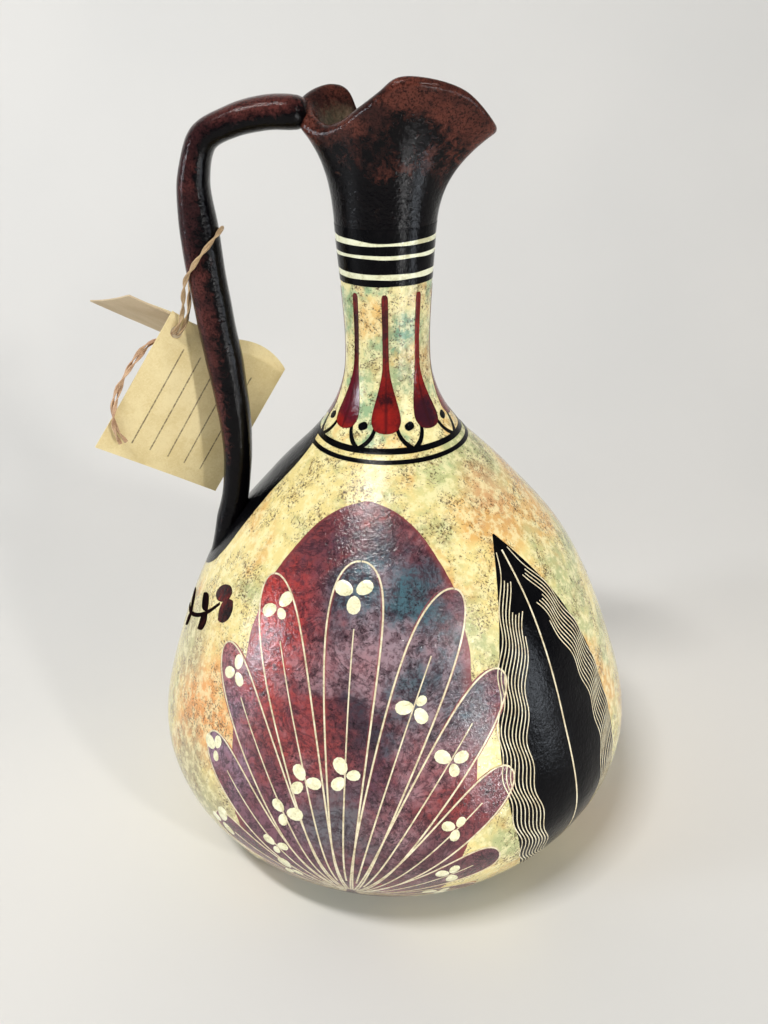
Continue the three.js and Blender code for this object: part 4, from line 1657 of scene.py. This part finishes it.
def cardMaterial(name, light, dark, ruled=False):
    material, tree, surface, coords = newMaterial(name)
    fibre = fillGroup(tree, fibreFleck, {"Vector": coords["Object"], "Size": 900.0})
    colour = mixColour(tree, span(tree, fibre["Fleck"], 0.36, 0.64), dark, light)
    if ruled:
        colour = mixColour(tree, inkMask(tree, coords), colour, inkRules["tone"])
    rough = span(tree, fibre["Fleck"], 0.3, 0.7, 0.88, 0.7)
    dress(tree, surface, colour, rough, fibre["Height"], 0.25, 0.2)
    return material


def stops(low, high, fineLow, fineHigh):
    # Grid lines from low to high, close together between the two fine limits
    fine = tag["fineStep"]
    result = [low]
    while result[-1] < high - 1e-6:
        here = result[-1]
        step = fine if fineLow - fine < here < fineHigh else tag["step"]
        if here < fineLow - fine:
            step = min(step, fineLow - here)
        result.append(min(here + step, high))
    if result[-1] - result[-2] < fine / 2:
        result.pop(-2)
    return result


mostPoints = 8192     # more than a leaf has


def faceOrder(face):
    # A number of its own for each face of a leaf, from all its corners
    order = 0
    for corner in sorted(vert.index for vert in face.verts):
        order = order * mostPoints + corner
    return order


def leafPiece(name, left, frameOfLeaf, material, backMaterial, curl):
    # A thin sheet with a punched hole; curl gives how far a place on it shifts, bows out and rises
    holeX, holeZ = tag["hole"]
    near = tag["holeRadius"] + tag["holeMargin"]
    acrossStops = stops(left, tag["width"], holeX - near, holeX + near)
    downStops = stops(-tag["length"], -tag["foldGap"], holeZ - near, holeZ + near)
    work = bmesh.new()
    uvLayer = work.loops.layers.uv.new("leaf")
    grid = [[work.verts.new((x, 0, z)) for x in acrossStops] for z in downStops]
    for low, high in zip(grid, grid[1:]):
        for place in range(len(low) - 1):
            corners = (low[place], low[place + 1], high[place + 1], high[place])
            middle = sum((corner.co for corner in corners), Vector()) / 4
            if math.hypot(middle.x - holeX, middle.z - holeZ) > tag["holeRadius"]:
                work.faces.new(corners)
    for vert in [vert for vert in work.verts if not vert.link_faces]:
        work.verts.remove(vert)
    for vert in work.verts:
        away = Vector((vert.co.x - holeX, 0, vert.co.z - holeZ))
        if vert.is_boundary and away.length < near:
            vert.co = Vector((holeX, 0, holeZ)) + away.normalized() * tag["holeRadius"]
    for face in work.faces:
        for loop in face.loops:
            place = loop.vert.co
            loop[uvLayer].uv = ((place.x - left) / (tag["width"] - left), -place.z / tag["length"])
    for vert in work.verts:
        shift, bow, rise = curl(vert.co.x, vert.co.z)
        vert.co += Vector((shift, bow, rise))
    bmesh.ops.recalc_face_normals(work, faces=work.faces)
    if sum(face.normal.y for face in work.faces) > 0:
        bmesh.ops.reverse_faces(work, faces=work.faces)
    bmesh.ops.solidify(work, geom=work.faces[:], thickness=tag["thick"])
    work.verts.index_update()
    work.faces.sort(key=faceOrder)     # the rim comes in a new order each run
    mesh = bpy.data.meshes.new(name)
    work.to_mesh(mesh)
    work.free()
    mesh.transform(Matrix.Scale(mm, 4) @ frameOfLeaf)
    mesh.materials.append(material)
    mesh.materials.append(backMaterial)
    piece = newObject(name, mesh)
    outwardNormals(piece)
    behind = frameOfLeaf.to_3x3() @ Vector((0, 1, 0))
    for face in mesh.polygons:
        face.use_smooth = True
        face.material_index = int(face.normal.dot(behind) > 0.5)
    mesh.set_sharp_from_angle(angle=math.radians(tag["sharp"]))
    return piece


def fade(value, reach):
    return max(1 - value / reach, 0)


def ramp(value, low, high):
    return min(max((value - low) / (high - low), 0), 1)


frontBend = {
    "pinchAcross": 12.0,        # how far the twine's pull reaches, and down as a share of the length
    "pinchDown": 0.25,
    "pinchShift": 0.3,
    "pinchRise": 1.2,
    "cornerShift": 1.9,
    "cornerReach": 22.0,
    "edgeBow": 1.3,
    "edgeReach": 30.0,
    "sideBow": 0.5,
    "setBack": 0.5,
    "rollFrom": 17.5,
    "rollSkew": 1.17,
    "rollRound": 0.8,
    "crest": (-2.0, -0.15),     # heights that the roll's crest and its body span
    "body": (-14.0, -2.0),
    "crestBow": 3.2,
    "bodyBow": 1.2,
    "crestRise": 0.9,
    "bodyRise": 2.3,
    "foldRise": 0.4,
}
rearBend = {
    "pinchAcross": 14.0,
    "pinchDown": 1 / 3,
    "pinchFrom": 2.5,
    "pinchBow": 1.2,
    "cornerShift": 2.0,
    "edgeBow": 3.2,
    "ripple": 0.4,
    "rippleTurn": 0.09,
}


def frontCurl(x, z):
    # The free lower edge bows forwards, and the fold opens into a loose roll past the handle
    bend, down = frontBend, -z / tag["length"]
    pinch = fade(x, bend["pinchAcross"]) * fade(down, bend["pinchDown"])
    shift = bend["pinchShift"] * pinch - bend["cornerShift"] * down**1.5 * fade(x, bend["cornerReach"])
    bow = bend["sideBow"] * (x / tag["width"]) ** 2 - bend["setBack"]
    bow -= bend["edgeBow"] * down**2 * fade(x, bend["edgeReach"]) ** 1.5
    past = ramp(x, bend["rollFrom"], tag["width"]) ** bend["rollSkew"]
    roll = math.sin(math.pi * past) ** bend["rollRound"]
    crest, body = ramp(z, *bend["crest"]), ramp(z, *bend["body"])
    bow += roll * (bend["crestBow"] * crest - bend["bodyBow"] * body**2)
    rise = bend["pinchRise"] * pinch + bend["foldRise"] * crest
    return shift, bow, rise + roll * (bend["bodyRise"] * body + bend["crestRise"] * crest)


def rearCurl(x, z):
    # The far edge lifts and its corner reaches further out
    bend, down = rearBend, -z / tag["length"]
    pinch = fade(abs(x), bend["pinchAcross"]) * fade(down, bend["pinchDown"]) * min(-z / bend["pinchFrom"], 1)
    shift = -bend["cornerShift"] * down * max(-x / tag["overhang"], 0)
    bow = bend["edgeBow"] * down**1.6 + bend["ripple"] * math.sin(x * bend["rippleTurn"])
    return shift, bow + bend["pinchBow"] * pinch, 0.0


def makeTag():
    frontCard = cardMaterial("tag_card", shade(237, 220, 170), shade(222, 202, 148), ruled=True)
    plainCard = cardMaterial("tag_card_plain", shade(232, 214, 166), shade(218, 198, 146))
    # Painted shade: the rear leaf's visible side is a darker card tone because it hangs in shadow
    shadedRearCard = cardMaterial("tag_card_rear_shaded", shade(196, 176, 144), shade(184, 164, 132))
    hanging = tagFrame()
    opened = hanging @ Matrix.Rotation(math.radians(tag["opening"]), 4, "X")
    front = leafPiece("tag_front_card", 0.0, hanging, frontCard, plainCard, frontCurl)
    rear = leafPiece("tag_rear_card", -tag["overhang"], opened, shadedRearCard, plainCard, rearCurl)
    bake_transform(front)
    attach(rear, "rear_leaf")
    for piece, node in ((front, "tag_front_leaf"), (rear, "tag_rear_leaf")):
        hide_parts(node)


makeTag()
print("tag folded")


# Pale floor and backdrop, soft lights
stage = {
    "floor": shade(226, 224, 220),
    "drift": shade(218, 217, 214),
    "roughness": 0.6,
    "wide": 2.4,
    "front": -1.6,
    "back": 0.55,
    "bend": 0.35,
    "bendSteps": 12,
    "tall": 1.6,
    "world": 0.22,
    "worldTone": (0.95, 0.97, 1.0, 1.0),
    "aim": (0, 0, 0.13),
}
lamps = {     # azimuth, elevation, distance, width and height, watts, colour
    "window": (-165, 9, 2.2, (0.34, 0.5), 21.0, (0.86, 0.92, 1.0)),
    "ceiling": (-125, 62, 1.2, (0.4, 0.07), 10.0, (1.0, 0.98, 0.95)),
    "side_lamp": (-50, 24, 1.4, (0.09, 0.09), 5.0, (1.0, 0.97, 0.93)),
    "low_strip": (-52, -9, 0.42, (0.022, 0.14), 0.5, (1.0, 1.0, 1.0)),
    "right_strip": (-24, -8, 0.44, (0.06, 0.18), 0.55, (0.84, 0.91, 1.0)),
}


def makeStage():
    back, bend, steps = stage["back"], stage["bend"], stage["bendSteps"]
    outline = [(stage["front"], 0.0), (back - bend, 0.0)]
    for step in range(1, steps + 1):
        angle = math.pi / 2 * step / steps
        outline.append((back - bend + bend * math.sin(angle), bend - bend * math.cos(angle)))
    outline.append((back, stage["tall"]))
    points = [(side * stage["wide"], y, z) for y, z in outline for side in (-1, 1)]
    faces = [(2 * k, 2 * k + 1, 2 * k + 3, 2 * k + 2) for k in range(len(outline) - 1)]
    material, tree, surface, coords = newMaterial("pale_sweep")
    drift = grainNoise(tree, coords["Object"], 3.0, 2.0)
    paper = mixColour(tree, span(tree, drift, 0.3, 0.7), stage["floor"], stage["drift"])
    tree.links.new(paper, surface["Base Color"])
    surface["Roughness"].default_value = stage["roughness"]
    sweep = meshPiece("pale_sweep", points, faces, material)
    return sweep


def areaLight(name, azimuth, elevation, distance, size, power, colour):
    data = bpy.data.lights.new(name, "AREA")
    data.shape = "RECTANGLE"
    data.size, data.size_y = size
    data.energy = power
    data.color = colour
    light = newObject(name, data)
    turn, rise = math.radians(azimuth), math.radians(elevation)
    away = Vector((math.cos(turn) * math.cos(rise), math.sin(turn) * math.cos(rise), math.sin(rise)))
    light.location = Vector(stage["aim"]) + away * distance
    light.rotation_euler = away.to_track_quat("Z", "Y").to_euler()
    return light


def makeLights(sweep):
    lights = {name: areaLight(name, *lamp) for name, lamp in lamps.items()}
    floorLeftOut = bpy.data.collections.new("floor_left_out")
    floorLeftOut.objects.link(sweep)
    floorLeftOut.collection_objects[0].light_linking.link_state = "EXCLUDE"
    for name in ("low_strip", "right_strip"):     # these draw streaks on the neck and leave the floor unlit
        lights[name].light_linking.receiver_collection = floorLeftOut
    world = bpy.data.worlds.new("soft_room")
    world.use_nodes = True
    background = world.node_tree.nodes["Background"].inputs
    background["Color"].default_value = stage["worldTone"]
    background["Strength"].default_value = stage["world"]
    bpy.context.scene.world = world
    bpy.context.scene.view_settings.view_transform = "Standard"


makeLights(makeStage())
print("stage lit")
